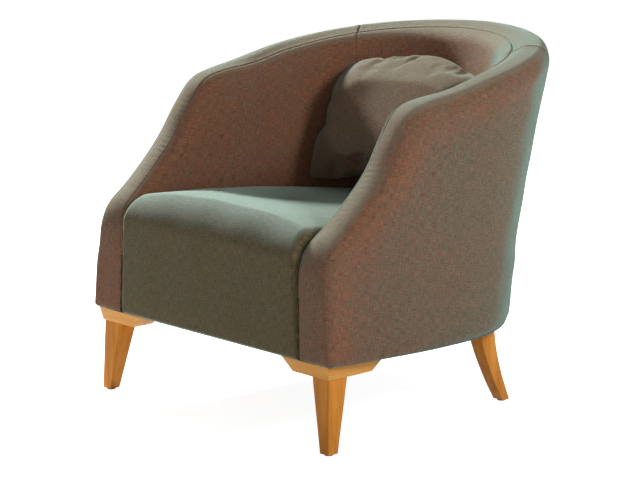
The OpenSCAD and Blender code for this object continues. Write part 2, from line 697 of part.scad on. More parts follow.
// The cushion's top corners rest on the round of the back. Their place on it is found in a few
// passes from a first guess, and some room is left for the flat facets of the wall.
facet_room = 1.1;
rest_passes = 5;
// How far it settles into the slight hollow between the seat's facets
settle = 1.3;
function inner_r(a, z) =
    let (s = side_len + a / 90 * arc_len) corner_r + lean(s) * rise(z) - wall_t(s);
function rest_y(x, z, a, n) =
    let (r = inner_r(a, z) - gap - facet_room, y = sqrt(r * r - x * x))
    n == 0 ? y : rest_y(x, z, atan2(y, x), n - 1);
// The seat's middle height at a distance from the arm fronts
function seat_mid(y) =
    seat_crown + seat_side(y < side_len ? y
        : side_len + arc_len / 90 * asin((y - side_len) / (corner_r - back_t)));
cushion_y = base_depth - cushion_foot_in;
cushion_z = seat_mid(cushion_y) + gap - settle;
function cushion_top_y(z) = side_len + rest_y((cushion_w - back_flat) / 2, z, 45, rest_passes);
// The lean at which the top corners meet the wall, in a few passes from a first guess
function lean_to(a, n) =
    let (y = cushion_top_y(cushion_z + cushion_h * cos(a)), b = asin((y - cushion_y) / cushion_h))
    n == 0 ? b : lean_to(b, n - 1);
first_lean = 20;
cushion_lean = lean_to(first_lean, rest_passes);
function bent(t) = sin(90 * t);
function cushion_grid(e, face) =
    let (w = cushion_w / 2 - e, h = cushion_h / 2 - e, t = cushion_t / 2 - e)
    [for (i = [0:cushion_cols]) let (u = bent(2 * i / cushion_cols - 1))
        [for (j = [0:cushion_rows]) let (v = bent(2 * j / cushion_rows - 1),
            fat = (max(0, (1 - u * u) * (1 - v * v))) ^ fullness)
            [face * u * w * (1 - pinch_share * (1 - v * v)),
                -face * t * (edge_t_share + (1 - edge_t_share) * fat),
                v * h * (1 - pinch_share * (1 - u * u))]]];
module place_cushion() {
    translate([0, front_y + cushion_y, cushion_z]) rotate([-cushion_lean, 0, 0])
        translate([0, 0, cushion_h / 2]) children();
}
module pillow(e) {
    grid_solid(cushion_grid(e, 1), [for (r = reversed(cushion_grid(e, -1))) r]);
}
module cushion_cover() {
    cloth() place_cushion() difference() { pillow(0); pillow(cushion_skin); }
}
module cushion_filling() { color([0.95, 0.94, 0.90]) place_cushion() pillow(cushion_skin + gap); }

front_rail();
side_rail();  // side_rail_right
left() side_rail();  // side_rail_left
rear_rail();
corner_blocks();
rear_leg_blocks();
arm_rail();  // arm_rail_right
left() arm_rail();  // arm_rail_left
back_top_rail();
uprights();
seat_webbing();
outer_board();  // outer_board_right
left() outer_board();  // outer_board_left
outer_board_back();
inner_panel();  // inner_panel_right
left() inner_panel();  // inner_panel_left
inner_panel_back();
arm_foam();  // arm_foam_right
left() arm_foam();  // arm_foam_left
back_foam();
rim_pad_arm();  // rim_pad_right
left() rim_pad_arm();  // rim_pad_left
rim_pad_back();
seat_foam();
seat_front_pad();
rim_band();  // rim_band_right
left() rim_band();  // rim_band_left
rim_band_back();
outer_cover();  // outer_cover_right
left() outer_cover();  // outer_cover_left
outer_cover_back();
inner_cover();  // inner_cover_right
left() inner_cover();  // inner_cover_left
inner_cover_back();
seat_cover();
dust_cover();
front_bracket();  // front_bracket_right
left() front_bracket();  // front_bracket_left
front_leg();  // front_leg_right
left() front_leg();  // front_leg_left
rear_leg();  // rear_leg_right
left() rear_leg();  // rear_leg_left
bracket_screws();
leg_dowels();
hanger_bolts();
tee_nuts();
leg_glides();
cushion_cover();
cushion_filling();
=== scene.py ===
# %% [markdown]
# # A tub armchair in shot cloth on oak legs
# The chair has a bent wooden frame, padded walls that sweep from the arms round the back, a
# rolled seat, a loose cushion and oak legs. The solid parts come in as a fixed frame, and this
# lesson dresses them: each soft piece is rebuilt in finer form, and each one gets its finish.

# %% Load the frame
import json
import math

import bmesh
import bpy
import numpy as np
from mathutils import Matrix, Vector


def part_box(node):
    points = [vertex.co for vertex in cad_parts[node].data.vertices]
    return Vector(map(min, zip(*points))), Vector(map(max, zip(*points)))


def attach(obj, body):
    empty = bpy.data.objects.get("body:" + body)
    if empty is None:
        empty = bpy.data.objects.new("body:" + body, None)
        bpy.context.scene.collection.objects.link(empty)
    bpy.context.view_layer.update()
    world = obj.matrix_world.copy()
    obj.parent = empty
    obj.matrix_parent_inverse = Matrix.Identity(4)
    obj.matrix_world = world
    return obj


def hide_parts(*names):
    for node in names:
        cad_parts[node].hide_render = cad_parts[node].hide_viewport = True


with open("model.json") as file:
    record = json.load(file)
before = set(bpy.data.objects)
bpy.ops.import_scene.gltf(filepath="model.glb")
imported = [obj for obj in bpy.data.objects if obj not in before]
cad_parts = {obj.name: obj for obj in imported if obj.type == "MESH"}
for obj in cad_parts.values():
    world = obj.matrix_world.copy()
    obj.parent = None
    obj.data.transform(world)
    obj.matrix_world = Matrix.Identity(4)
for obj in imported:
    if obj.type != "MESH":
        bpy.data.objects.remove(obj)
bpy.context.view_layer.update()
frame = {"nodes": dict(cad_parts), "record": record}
nodes = frame["nodes"]


def add_object(name, data):
    """A new object in the scene"""
    piece = bpy.data.objects.new(name, data)
    bpy.context.collection.objects.link(piece)
    return piece


def dress(piece, material):
    """Gives a piece one finish in place of what it had"""
    piece.data.materials.clear()
    piece.data.materials.append(material)


print("scene helpers ready")

# %% [markdown]
# ## Camera
# The photograph was taken from in front of the chair and to its side, a little above seat
# height, with a long lens. A camera can be set by rotation angles, but here it is aimed: its
# place follows from a target, two angles and a distance, which are easy to adjust.

# %% Aim the camera
TURN, RISE, DISTANCE = math.radians(47.6), math.radians(11.45), 5.402
TARGET = Vector((-0.0335, -0.078, 0.3282))
look = Vector((-math.sin(TURN) * math.cos(RISE), math.cos(TURN) * math.cos(RISE), -math.sin(RISE)))
camera_data = bpy.data.cameras.new("camera")
camera_data.lens, camera_data.sensor_width = 143.3, 36.0
camera = add_object("camera", camera_data)
camera.location = TARGET - DISTANCE * look
camera.rotation_euler = look.to_track_quat("-Z", "Y").to_euler()
bpy.context.scene.camera = camera
bpy.context.scene.view_settings.view_transform = "Standard"
print("camera at", [round(v, 3) for v in camera.location])

# %% [markdown]
# ## A short way to add nodes
# Every material and every Geometry Nodes tree below is wired by the same small helper: it adds
# one node, sets its options and either fills its sockets with values or links them.

# %% Node helper
def fill(tree, node, values):
    """Fills a node's inputs with values, or links them to sockets"""
    for key, value in values.items():
        if isinstance(value, bpy.types.NodeSocket):
            tree.links.new(value, node.inputs[key])
        else:
            node.inputs[key].default_value = value
    return node


def wire(tree, kind, values=None, **options):
    """One node, with its options set and its inputs filled or linked"""
    node = tree.nodes.new(kind)
    for key, value in options.items():
        setattr(node, key, value)
    return fill(tree, node, values or {})


def sum_of(tree, kind, a, b, c=0.0):
    """The result socket of one Math node"""
    return wire(tree, "ShaderNodeMath", {0: a, 1: b, 2: c}, operation=kind).outputs[0]


def blend_colour(tree, factor, a, b):
    """A colour between two others"""
    node = wire(tree, "ShaderNodeMix", {0: factor, 6: a, 7: b}, data_type="RGBA")
    return node.outputs[2]


def spread(tree, value, low, high, to_low=0.0, to_high=1.0):
    """A value stretched from one range to another, and held within it"""
    return wire(tree, "ShaderNodeMapRange", {
        0: value, 1: low, 2: high, 3: to_low, 4: to_high}).outputs[0]


def swing(tree, value, by, rest):
    """How far a value lies from a half, times a number, on top of the rest"""
    return sum_of(tree, "MULTIPLY_ADD", sum_of(tree, "SUBTRACT", value, 0.5), by, rest)


def scaled(tree, vector, by):
    """A colour or a vector times one number, or times three"""
    if isinstance(by, tuple):
        return wire(tree, "ShaderNodeVectorMath", {0: vector, 1: by},
                    operation="MULTIPLY").outputs[0]
    return wire(tree, "ShaderNodeVectorMath", {0: vector, "Scale": by},
                operation="SCALE").outputs[0]


def noise(tree, place, scale, detail, rough=0.5, flat=False):
    """The value of a noise texture, which when flat looks only at X and Y"""
    return wire(tree, "ShaderNodeTexNoise", {
        "Vector": place, "Scale": scale, "Detail": detail, "Roughness": rough},
        noise_dimensions="2D" if flat else "3D").outputs[0]


def bumped(tree, height, strength, distance):
    """The normal that a height gives the surface"""
    return wire(tree, "ShaderNodeBump", {
        "Height": height, "Strength": strength, "Distance": distance}).outputs[0]


print("node helpers ready")

# %% [markdown]
# ## The shot cloth
# The cover is a plain weave with two colours of yarn: rust along the piece and grey-green across
# it. From the front the rust shows. Where the cloth turns up and to the left, towards the lamps,
# the material paints it paler as painted light, and where it turns away it paints a green sheen.
# An image could hold the weave, but it would blur close up, so it is worked out from the cloth's
# own coordinates, which are lengths in metres along the two yarns. A group holds it, because the
# walls, the seat and the cushion use it with different values.

# %% Group: woven yarns
def group_with(name, inputs, outputs):
    """An empty shader group with the named sockets"""
    tree = bpy.data.node_groups.new(name, "ShaderNodeTree")
    for label, kind, default in inputs:
        socket = tree.interface.new_socket(label, in_out="INPUT", socket_type=kind)
        if default is not None:
            socket.default_value = default
    for label, kind in outputs:
        tree.interface.new_socket(label, in_out="OUTPUT", socket_type=kind)
    return tree, tree.nodes.new("NodeGroupInput").outputs, tree.nodes.new("NodeGroupOutput").inputs


def build_woven_yarns():
    """Cloth coordinates in, the yarns' colour and height out"""
    tree, given, result = group_with("woven yarns", [
        ("Cloth", "NodeSocketVector", None), ("Pitch", "NodeSocketFloat", 0.0011),
        ("Slub", "NodeSocketFloat", 2.1), ("Lean", "NodeSocketFloat", 0.0),
        ("Warp", "NodeSocketColor", (0.3, 0.12, 0.07, 1)),
        ("Weft", "NodeSocketColor", (0.15, 0.2, 0.17, 1)),
    ], [("Colour", "NodeSocketColor"), ("Height", "NodeSocketFloat")])
    parts = wire(tree, "ShaderNodeSeparateXYZ", {0: given["Cloth"]}).outputs
    turns = sum_of(tree, "DIVIDE", math.pi, given["Pitch"])
    across = sum_of(tree, "SINE", sum_of(tree, "MULTIPLY", parts[0], turns), 0.0)
    along = sum_of(tree, "SINE", sum_of(tree, "MULTIPLY", parts[1], turns), 0.0)
    over = sum_of(tree, "MULTIPLY", across, along)
    top = spread(tree, over, -0.25, 0.25)
    yarns = []
    for number, scale in enumerate([(900.0, 62.0, 1.0), (62.0, 900.0, 1.0)]):
        shifted = wire(tree, "ShaderNodeVectorMath", {
            0: scaled(tree, given["Cloth"], scale), 1: (3.1 * number, 7.7, 0)},
            operation="ADD").outputs[0]
        yarns.append(noise(tree, shifted, 1.0, 2.0, 0.6, flat=True))
    fleck = noise(tree, given["Cloth"], 470.0, 3.0, 0.7, flat=True)
    drift = noise(tree, given["Cloth"], 7.0, 2.0, flat=True)
    slubs = sum_of(tree, "SUBTRACT", yarns[1], yarns[0])
    share = sum_of(tree, "MULTIPLY_ADD", slubs, given["Slub"], given["Lean"])
    for part, weight in ((fleck, 1.5), (drift, 0.5), (top, 0.35)):
        share = swing(tree, part, weight, share)
    mixed = blend_colour(tree, spread(tree, share, -0.5, 0.5), given["Warp"], given["Weft"])
    dim = spread(tree, sum_of(tree, "ADD", yarns[0], yarns[1]), 0.6, 1.4, 0.36, 1.62)
    round_yarn = sum_of(tree, "MAXIMUM", sum_of(tree, "ABSOLUTE", across, 0.0),
                        sum_of(tree, "ABSOLUTE", along, 0.0))
    relief = sum_of(tree, "MULTIPLY_ADD", slubs, 1.4, sum_of(tree, "MULTIPLY", round_yarn, 0.6))
    tree.links.new(scaled(tree, mixed, dim), result["Colour"])
    tree.links.new(relief, result["Height"])
    return tree


woven_yarns = build_woven_yarns()
print("group:", woven_yarns.name)

# %% [markdown]
# The group only puts out a colour and a height. The shader and the direction of view stay in the
# material. There Layer Weight paints a pale green sheen where the cloth turns away, beside the
# shader's own sheen, and faces turned up and to the left are painted paler, as painted light
# from the lamps there. On a level face, such as an arm's rim, that painted sheen and painted
# light can be held back.

# %% Material: shot cloth
PAINTED_SHEEN_GREEN = (0.165, 0.262, 0.220, 1)


def blank_material(name):
    """A material with only its shader and output"""
    material = bpy.data.materials.new(name)
    material.use_nodes = True
    tree = material.node_tree
    tree.nodes.clear()
    shader = tree.nodes.new("ShaderNodeBsdfPrincipled")
    output = tree.nodes.new("ShaderNodeOutputMaterial")
    tree.links.new(shader.outputs[0], output.inputs[0])
    return material, tree, shader


def cloth_material(name, lean, lift, warp, weft, painted_light_colour, edge=PAINTED_SHEEN_GREEN, level_sheen=1.0,
                   level_light=1.0):
    """Lean is its share of green yarns, lift how much painted light it gets from above and the left
    """
    material, tree, shader = blank_material(name)
    # The shot attribute shifts the yarns' share; on the outsides it carries painted sheen and shade
    turned = wire(tree, "ShaderNodeAttribute", attribute_name="shot").outputs["Fac"]
    yarns = wire(tree, "ShaderNodeGroup", {
        "Cloth": wire(tree, "ShaderNodeUVMap", uv_map="cloth").outputs[0],
        "Lean": sum_of(tree, "ADD", turned, lean), "Warp": warp, "Weft": weft},
        node_tree=woven_yarns).outputs
    facing = wire(tree, "ShaderNodeSeparateXYZ", {
        0: wire(tree, "ShaderNodeNewGeometry").outputs["Normal"]}).outputs
    # Painted light: faces turned up and to the left, towards the lamps, are mixed towards a paler
    # colour, which is lighter on high yarns and held back on level faces
    lit_side = sum_of(tree, "MULTIPLY_ADD", facing[0], -0.5, facing[2])
    above = spread(tree, lit_side, 0.24, 0.80, 0.0, lift)
    lit = sum_of(tree, "MULTIPLY", spread(tree, yarns["Height"], 0.0, 1.2, 0.72, 1.24),
                 spread(tree, facing[2], 0.75, 1.0, 1.08, level_light))
    colour = blend_colour(tree, above, yarns["Colour"], scaled(tree, painted_light_colour[:3], lit))
    # Painted sheen: where the cloth turns away from the view it is mixed towards a pale green
    away = wire(tree, "ShaderNodeLayerWeight", {"Blend": 0.5}).outputs["Facing"]
    level = spread(tree, facing[2], 0.50, 0.95, 1.0, level_sheen)
    painted_sheen_share = sum_of(tree, "MULTIPLY", spread(tree, away, 0.61, 0.80, 0.0, 0.86), level)
    colour = blend_colour(tree, painted_sheen_share, colour, edge)
    fill(tree, shader, {
        "Base Color": colour, "Normal": bumped(tree, yarns["Height"], 0.8, 0.0008),
        "Roughness": 0.9, "Specular IOR Level": 0.08, "Sheen Weight": 0.45,
        "Sheen Roughness": 0.30, "Sheen Tint": (0.62, 0.78, 0.66, 1)})
    return material


RUST, GREY_GREEN = (0.285, 0.096, 0.046, 1), (0.150, 0.132, 0.092, 1)
# Each cloth's painted_light_colour is its painted light, and its edge colour a painted sheen; the
# seat's pale edge colour also lightens its rear, which lies in shade.
wall_cloth = cloth_material(
    "shot_cloth", lean=0.0, lift=0.74, warp=RUST, weft=GREY_GREEN,
    painted_light_colour=(0.30, 0.290, 0.210, 1), level_sheen=0.55, level_light=0.74)
seat_cloth = cloth_material(
    "shot_cloth_seat", lean=0.30, lift=0.92, warp=(0.190, 0.100, 0.055, 1),
    weft=(0.112, 0.100, 0.052, 1), painted_light_colour=(0.235, 0.285, 0.235, 1), edge=(0.270, 0.375, 0.315, 1))
cushion_cloth = cloth_material(
    "shot_cloth_cushion", lean=0.16, lift=0.50, warp=RUST, weft=GREY_GREEN,
    painted_light_colour=(0.185, 0.185, 0.128, 1), edge=(0.17, 0.18, 0.135, 1))
print("materials:", wall_cloth.name, seat_cloth.name, cushion_cloth.name)

# %% [markdown]
# ## The oak
# The legs and brackets are solid oak with a satin lacquer. Grain has to follow each piece, up a
# leg and along a bracket's arms, so every oak piece carries an attribute named grain: its
# corners' places, turned so that X runs along the fibres. One group serves all of them.

# %% Group: grain
def build_grain():
    """A place along the fibres in, the wood's colour, gloss and height out"""
    tree, given, result = group_with("grain", [
        ("Place", "NodeSocketVector", None), ("Light", "NodeSocketColor", (0.6, 0.3, 0.1, 1)),
        ("Dark", "NodeSocketColor", (0.4, 0.15, 0.04, 1)), ("Contrast", "NodeSocketFloat", 1.0),
    ], [("Colour", "NodeSocketColor"), ("Gloss", "NodeSocketFloat"),
        ("Height", "NodeSocketFloat")])
    bands, fibres, pores = (
        noise(tree, scaled(tree, given["Place"], (along, across, across)), 1.0, detail, rough)
        for along, across, detail, rough in (
            (5.0, 75.0, 3.0, 0.55), (22.0, 900.0, 2.0, 0.6), (60.0, 1900.0, 1.0, 0.5)))
    tone = swing(tree, swing(tree, fibres, 0.55, bands), given["Contrast"], 0.5)
    colour = blend_colour(tree, spread(tree, tone, 0.25, 0.75), given["Dark"], given["Light"])
    pits = spread(tree, pores, 0.62, 0.74)
    dark = scaled(tree, colour, spread(tree, pits, 0.0, 1.0, 1.0, 0.74))
    tree.links.new(dark, result["Colour"])
    tree.links.new(spread(tree, fibres, 0.2, 0.8, 0.30, 0.44), result["Gloss"])
    tree.links.new(sum_of(tree, "MULTIPLY_ADD", pits, -0.6, sum_of(
        tree, "MULTIPLY", fibres, 0.4)), result["Height"])
    return tree


grain_group = build_grain()


def wood_material(name, light, dark, contrast, coat, source):
    """Wood whose grain follows an attribute, or the object's own coordinates"""
    material, tree, shader = blank_material(name)
    if source == "grain":
        place = wire(tree, "ShaderNodeAttribute", attribute_name="grain").outputs["Vector"]
    else:
        place = wire(tree, "ShaderNodeTexCoord").outputs["Object"]
    grain = wire(tree, "ShaderNodeGroup", {
        "Place": place, "Light": light, "Dark": dark, "Contrast": contrast},
        node_tree=grain_group).outputs
    fill(tree, shader, {
        "Base Color": grain["Colour"], "Roughness": grain["Gloss"],
        "Normal": bumped(tree, grain["Height"], 0.25, 0.0004), "Coat Weight": coat,
        "Specular IOR Level": 0.06, "Coat Roughness": 0.28})
    return material


oak = wood_material("oak", light=(0.74, 0.305, 0.050, 1), dark=(0.54, 0.180, 0.020, 1),
                    contrast=1.1, coat=0.05, source="grain")
# Painted light: the brackets get a lighter copy of the same oak, since they catch more light
painted_light_bracket_oak = wood_material("oak_brackets", light=(0.84, 0.43, 0.120, 1),
                            dark=(0.68, 0.29, 0.060, 1), contrast=0.9, coat=0.05, source="grain")
beech = wood_material("frame_timber", light=(0.66, 0.46, 0.27, 1), dark=(0.50, 0.32, 0.17, 1),
                      contrast=0.8, coat=0.0, source="object")
print("materials:", oak.name, painted_light_bracket_oak.name, beech.name)

# %% [markdown]
# ## The hidden finishes
# What the covers hold still has a real finish, since it is looked at when the chair is opened
# up: hardboard, foam, webbing, black dust cloth, zinc-plated steel, nylon and fibre. One group
# of fine grain gives each its speckle, and only its scale and its colours differ.

# %% Group: speckle
def build_speckle():
    """Specks of two colours, and their height"""
    tree, given, result = group_with("speckle", [
        ("Scale", "NodeSocketFloat", 400.0), ("First", "NodeSocketColor", (0.5, 0.5, 0.5, 1)),
        ("Second", "NodeSocketColor", (0.4, 0.4, 0.4, 1)),
    ], [("Colour", "NodeSocketColor"), ("Height", "NodeSocketFloat")])
    place = wire(tree, "ShaderNodeTexCoord").outputs["Object"]
    fine = noise(tree, place, given["Scale"], 3.0, 0.7)
    factor = spread(tree, sum_of(tree, "MULTIPLY_ADD", noise(tree, place, 14.0, 2.0), 0.4, fine),
                    0.45, 0.95)
    tree.links.new(blend_colour(tree, factor, given["First"], given["Second"]),
                   result["Colour"])
    tree.links.new(fine, result["Height"])
    return tree


speckle_group = build_speckle()


def speckled(name, first, second, scale, rough, metal=0.0, relief=0.3):
    """A plain finish of two close colours in fine specks"""
    material, tree, shader = blank_material(name)
    speckle = wire(tree, "ShaderNodeGroup", {
        "Scale": scale, "First": first, "Second": second}, node_tree=speckle_group).outputs
    fill(tree, shader, {
        "Base Color": speckle["Colour"], "Roughness": rough, "Metallic": metal,
        "Normal": bumped(tree, speckle["Height"], relief, 0.0004)})
    return material


FINISH = {
    "frame_timber": beech,
    "fibre_board": speckled("fibre_board", (0.30, 0.19, 0.10, 1), (0.40, 0.27, 0.16, 1), 900, 0.7),
    "foam": speckled("foam", (0.78, 0.70, 0.46, 1), (0.86, 0.79, 0.58, 1), 1500, 0.95, 0.0, 0.5),
    "webbing": speckled("webbing", (0.05, 0.05, 0.045, 1), (0.16, 0.15, 0.13, 1), 1200, 0.8),
    "dust_cloth": speckled("dust_cloth", (0.012, 0.012, 0.013, 1), (0.035, 0.035, 0.036, 1),
                           1400, 0.9),
    "zinc_steel": speckled("zinc_steel", (0.56, 0.57, 0.58, 1), (0.68, 0.69, 0.70, 1), 260, 0.36,
                           1.0, 0.1),
    "glide_plastic": speckled("glide_plastic", (0.03, 0.027, 0.024, 1), (0.06, 0.055, 0.05, 1),
                              700, 0.55),
    "cushion_fibre": speckled("cushion_fibre", (0.82, 0.81, 0.77, 1), (0.90, 0.89, 0.86, 1), 500,
                              0.95),
    "oak": oak, "shot_cloth": wall_cloth,
}
slot_of = {part["node"]: part["material_slot"] for part in frame["record"]["subparts"]}
for name, piece in nodes.items():
    dress(piece, FINISH[slot_of[name]])
print("finished frame pieces:", len(nodes))

# %% [markdown]
# ## The walls as a sheet
# The arms and the back are one wall that can be unrolled: s runs from the right arm's front
# round the back to the left arm's front, z goes up, and d goes in from the outer face. A
# sculpted mesh would drift from the frame, so the same rule that shapes the frame is used here,
# only with many more points.

# %% Sizes of the walls
FRONT_W, CHAIR_DEPTH, BASE_DEPTH, CHAIR_H, BASE_Z = 0.740, 0.850, 0.712, 0.760, 0.182
BACK_FLAT, SIDE_BOW, SIDE_TUCK, ARM_T, BACK_T = 0.024, 0.015, 0.028, 0.092, 0.110
RIM_FOOT, RIM_MIDDLE, RIM_OUTER, RIM_INNER = 0.009, 0.020, 0.034, 0.023
CROWN_FOOT, CROWN_ARM, CROWN_BACK, RIM_DEEP = 0.004, 0.012, 0.009, 0.048
RIM_TUCK, COVER_THICK = 0.010, 0.0024
HALF_W, CORNER_R = FRONT_W / 2, (FRONT_W - BACK_FLAT) / 2
SIDE_LEN = BASE_DEPTH - CORNER_R
ARC_LEN = CORNER_R * math.pi / 2
PATH_LEN = SIDE_LEN + ARC_LEN + BACK_FLAT / 2
WALL_H = CHAIR_H - BASE_Z
FRONT_Y = -CHAIR_DEPTH / 2
print("wall length:", round(2 * PATH_LEN, 3), "m, height:", round(WALL_H, 3), "m")

# %% From the sheet to the chair
def smooth(t):
    """From 0 to 1 with soft ends"""
    c = np.clip(t, 0, 1)
    return c * c * (3 - 2 * c)


def fold(s):
    """The distance along the wall from the nearer arm's front"""
    return np.where(s <= PATH_LEN, s, 2 * PATH_LEN - s)


def rise(z):
    """Height above the base, as the walls' lean counts it"""
    return (z - BASE_Z) * (0.8 + 0.2 * (z - BASE_Z) / WALL_H)


SIDE_LEAN = -SIDE_TUCK / WALL_H
BACK_LEAN = (CHAIR_DEPTH - BASE_DEPTH) / rise(CHAIR_H - 0.026)


def lean(s):
    """How far the wall leans out for each metre it rises"""
    return SIDE_LEAN + (BACK_LEAN - SIDE_LEAN) * smooth((fold(s) / PATH_LEN - 0.22) / 0.78)


def wall_t(s):
    """The wall's thickness"""
    return ARM_T + (BACK_T - ARM_T) * smooth((fold(s) / PATH_LEN - 0.22) / 0.43)


def on_wall(s, z, d):
    """Points of the wall, in the chair's frame"""
    s, z, d = np.broadcast_arrays(*(np.asarray(v, float) for v in (s, z, d)))
    f, hand = fold(s), np.where(s <= PATH_LEN, 1.0, -1.0)
    a = np.clip((f - SIDE_LEN) / ARC_LEN, 0, 1) * math.pi / 2
    x = np.where(f <= SIDE_LEN, HALF_W, np.where(a < math.pi / 2,
                 BACK_FLAT / 2 + CORNER_R * np.cos(a), PATH_LEN - f))
    y = np.where(f <= SIDE_LEN, f, np.where(a < math.pi / 2,
                 SIDE_LEN + CORNER_R * np.sin(a), BASE_DEPTH))
    t = f / (1.3 * SIDE_LEN)
    bow = np.where(t < 1, SIDE_BOW * (1 - np.cos(2 * math.pi * t)) / 2, 0)
    o = bow + lean(s) * rise(z) - d
    return np.stack([hand * (x + np.cos(a) * o), y + np.sin(a) * o + FRONT_Y, z], -1)


print("top of the back:", on_wall(PATH_LEN, CHAIR_H, 0).round(3))

# %% [markdown]
# ## The rim line
# The rim climbs steeply from the arm's upright front, bends over a shoulder and runs on in a
# long shallow rise to the back. It is a curve through a few chosen points of the unrolled wall,
# walked at even steps, so that every cover can be laid out by its distance along the rim.

# %% The rim line
RIM_SHARES = np.array([
    (0, 0), (0.003, 0.2), (0.007, 0.322), (0.026, 0.393), (0.069, 0.449), (0.125, 0.527),
    (0.181, 0.622), (0.227, 0.734), (0.268, 0.813), (0.324, 0.843), (0.41, 0.869),
    (0.55, 0.916), (0.735, 0.967), (0.864, 0.99), (1, 1)])
SEAM_POINT, UPRIGHT_POINT = 12, 2
BETWEEN, EVEN_STEPS, SOFT_REACH, SOFT_WIDTH = 60, 1600, 40, 11


def walk_rim():
    """Even steps along the rim: (distances, places, upward directions, distances of points)"""
    knots = RIM_SHARES * (PATH_LEN, WALL_H) + (0, BASE_Z)
    tangents = np.gradient(knots, axis=0)
    for i in range(1, len(knots) - 1):
        tangents[i] = knots[i + 1] - knots[i - 1]
    tangents[0], tangents[-1] = (0, 1), (1, 0)
    tangents /= np.linalg.norm(tangents, axis=1)[:, None]
    u = np.linspace(0, 1, BETWEEN, endpoint=False)[:, None]
    line = []
    for a, b, ta, tb in zip(knots[:-1], knots[1:], tangents[:-1], tangents[1:]):
        reach = np.linalg.norm(b - a)
        line.append((2 * u**3 - 3 * u**2 + 1) * a + (u**3 - 2 * u**2 + u) * reach * ta
                    + (3 * u**2 - 2 * u**3) * b + (u**3 - u**2) * reach * tb)
    line = np.vstack(line + [knots[-1:]])
    walked = np.concatenate([[0], np.cumsum(np.linalg.norm(np.diff(line, axis=0), axis=1))])
    marks = walked[::BETWEEN]
    even = np.linspace(0, walked[-1], EVEN_STEPS)
    line = np.stack([np.interp(even, walked, line[:, k]) for k in (0, 1)], -1)
    padded = np.pad(line, ((SOFT_REACH, SOFT_REACH), (0, 0)), mode="reflect", reflect_type="odd")
    bell = np.exp(-0.5 * (np.arange(-SOFT_REACH, SOFT_REACH + 1) / SOFT_WIDTH) ** 2)
    soft = np.stack([np.convolve(padded[:, k], bell / bell.sum(), "valid") for k in (0, 1)], -1)
    slope = np.gradient(soft, even, axis=0)
    slope /= np.linalg.norm(slope, axis=1)[:, None]
    return even, soft, np.stack([-slope[:, 1], slope[:, 0]], -1), marks


RIM_T, RIM_LINE, RIM_UP, RIM_MARKS = walk_rim()
HALF_RIM, SEAM_T, UPRIGHT_T = RIM_T[-1], RIM_MARKS[SEAM_POINT], RIM_MARKS[UPRIGHT_POINT]


def rim_at(t):
    """Place and upward direction on the rim at a distance t from the right arm's foot"""
    t = np.asarray(t, float)
    near = np.where(t <= HALF_RIM, t, 2 * HALF_RIM - t)
    s, z = (np.interp(near, RIM_T, RIM_LINE[:, k]) for k in (0, 1))
    us, uz = (np.interp(near, RIM_T, RIM_UP[:, k]) for k in (0, 1))
    beyond = t > HALF_RIM
    return (np.where(beyond, 2 * PATH_LEN - s, s), z, np.where(beyond, -us, us), uz)


SEAM_S = float(rim_at(SEAM_T)[0])
print("rim length:", round(2 * HALF_RIM, 3), "m, cross seams at", round(SEAM_S, 3), "m")

# %% [markdown]
# ## Laying a cover on the wall
# A cover starts at the rim's inner seam, goes over the rim or down inside it, and then down the
# face. A plain grid can't turn the corner at the top of the arm's upright front, so the mesh is
# laid in two parts that share their edge: a strip along the rim, and columns that hang from it.

# %% Where along the rim the points lie
CLOSE = np.array([0, 0.5, 1.0, 1.6, 2.6, 4.2, 6.6, 9.5]) / 1000


def stops(length, coarse, fine_start=False, fine_end=False):
    """Distances from zero to a length, with close steps next to a seam"""
    low = CLOSE if fine_start else CLOSE[:1]
    high = length - CLOSE[::-1] if fine_end else np.array([length])
    count = max(2, int(round((high[0] - low[-1]) / coarse)) + 1)
    return np.concatenate([low[:-1], np.linspace(low[-1], high[0], count), high[1:]])


def arm_stops():
    """Along an arm's rim: (distances, number of the last stop on the upright front)"""
    upright = stops(UPRIGHT_T, 0.0052)
    rest = UPRIGHT_T + stops(SEAM_T - UPRIGHT_T, 0.0031, fine_end=True)
    return np.concatenate([upright, rest[1:]]), len(upright) - 1


ARM_STOPS, UPRIGHT_STOP = arm_stops()
BACK_STOPS = SEAM_T + stops(2 * (HALF_RIM - SEAM_T), 0.0045, True, True)
print("stops on an arm:", len(ARM_STOPS), "and on the back:", len(BACK_STOPS))

# %% Mesh from points
def mesh_piece(name, points, faces, cloth=None, smooth_shaded=True):
    """A mesh object from points and faces, with the cloth's own coordinates as its UV map"""
    mesh = bpy.data.meshes.new(name)
    mesh.from_pydata(np.array(points, float).tolist(), [],
                     [list(map(int, face)) for face in faces])
    if cloth is not None:
        layer = mesh.uv_layers.new(name="cloth")
        corner = np.zeros(len(mesh.loops), np.int64)
        mesh.loops.foreach_get("vertex_index", corner)
        layer.data.foreach_set("uv", np.asarray(cloth, np.float32)[corner].ravel())
    mesh.polygons.foreach_set("use_smooth", [smooth_shaded] * len(mesh.polygons))
    mesh.update()
    return add_object(name, mesh)


def grid_faces(ids, flipped=False):
    """Four-sided faces between neighbours in a grid of point numbers"""
    a, b, c, e = ids[:-1, :-1], ids[1:, :-1], ids[1:, 1:], ids[:-1, 1:]
    return np.stack([a, e, c, b] if flipped else [a, b, c, e], -1).reshape(-1, 4)


def read_points(piece, what):
    """One vector for each of a piece's points"""
    out = np.zeros(len(piece.data.vertices) * 3, np.float32)
    piece.data.vertices.foreach_get(what, out)
    return out.reshape(-1, 3).astype(float)


def normals_of(piece):
    return read_points(piece, "normal")


def places_of(piece):
    return read_points(piece, "co")


def place_points(piece, points):
    """Moves all of a piece's points"""
    piece.data.vertices.foreach_set("co", np.asarray(points, np.float32).ravel())
    piece.data.update()


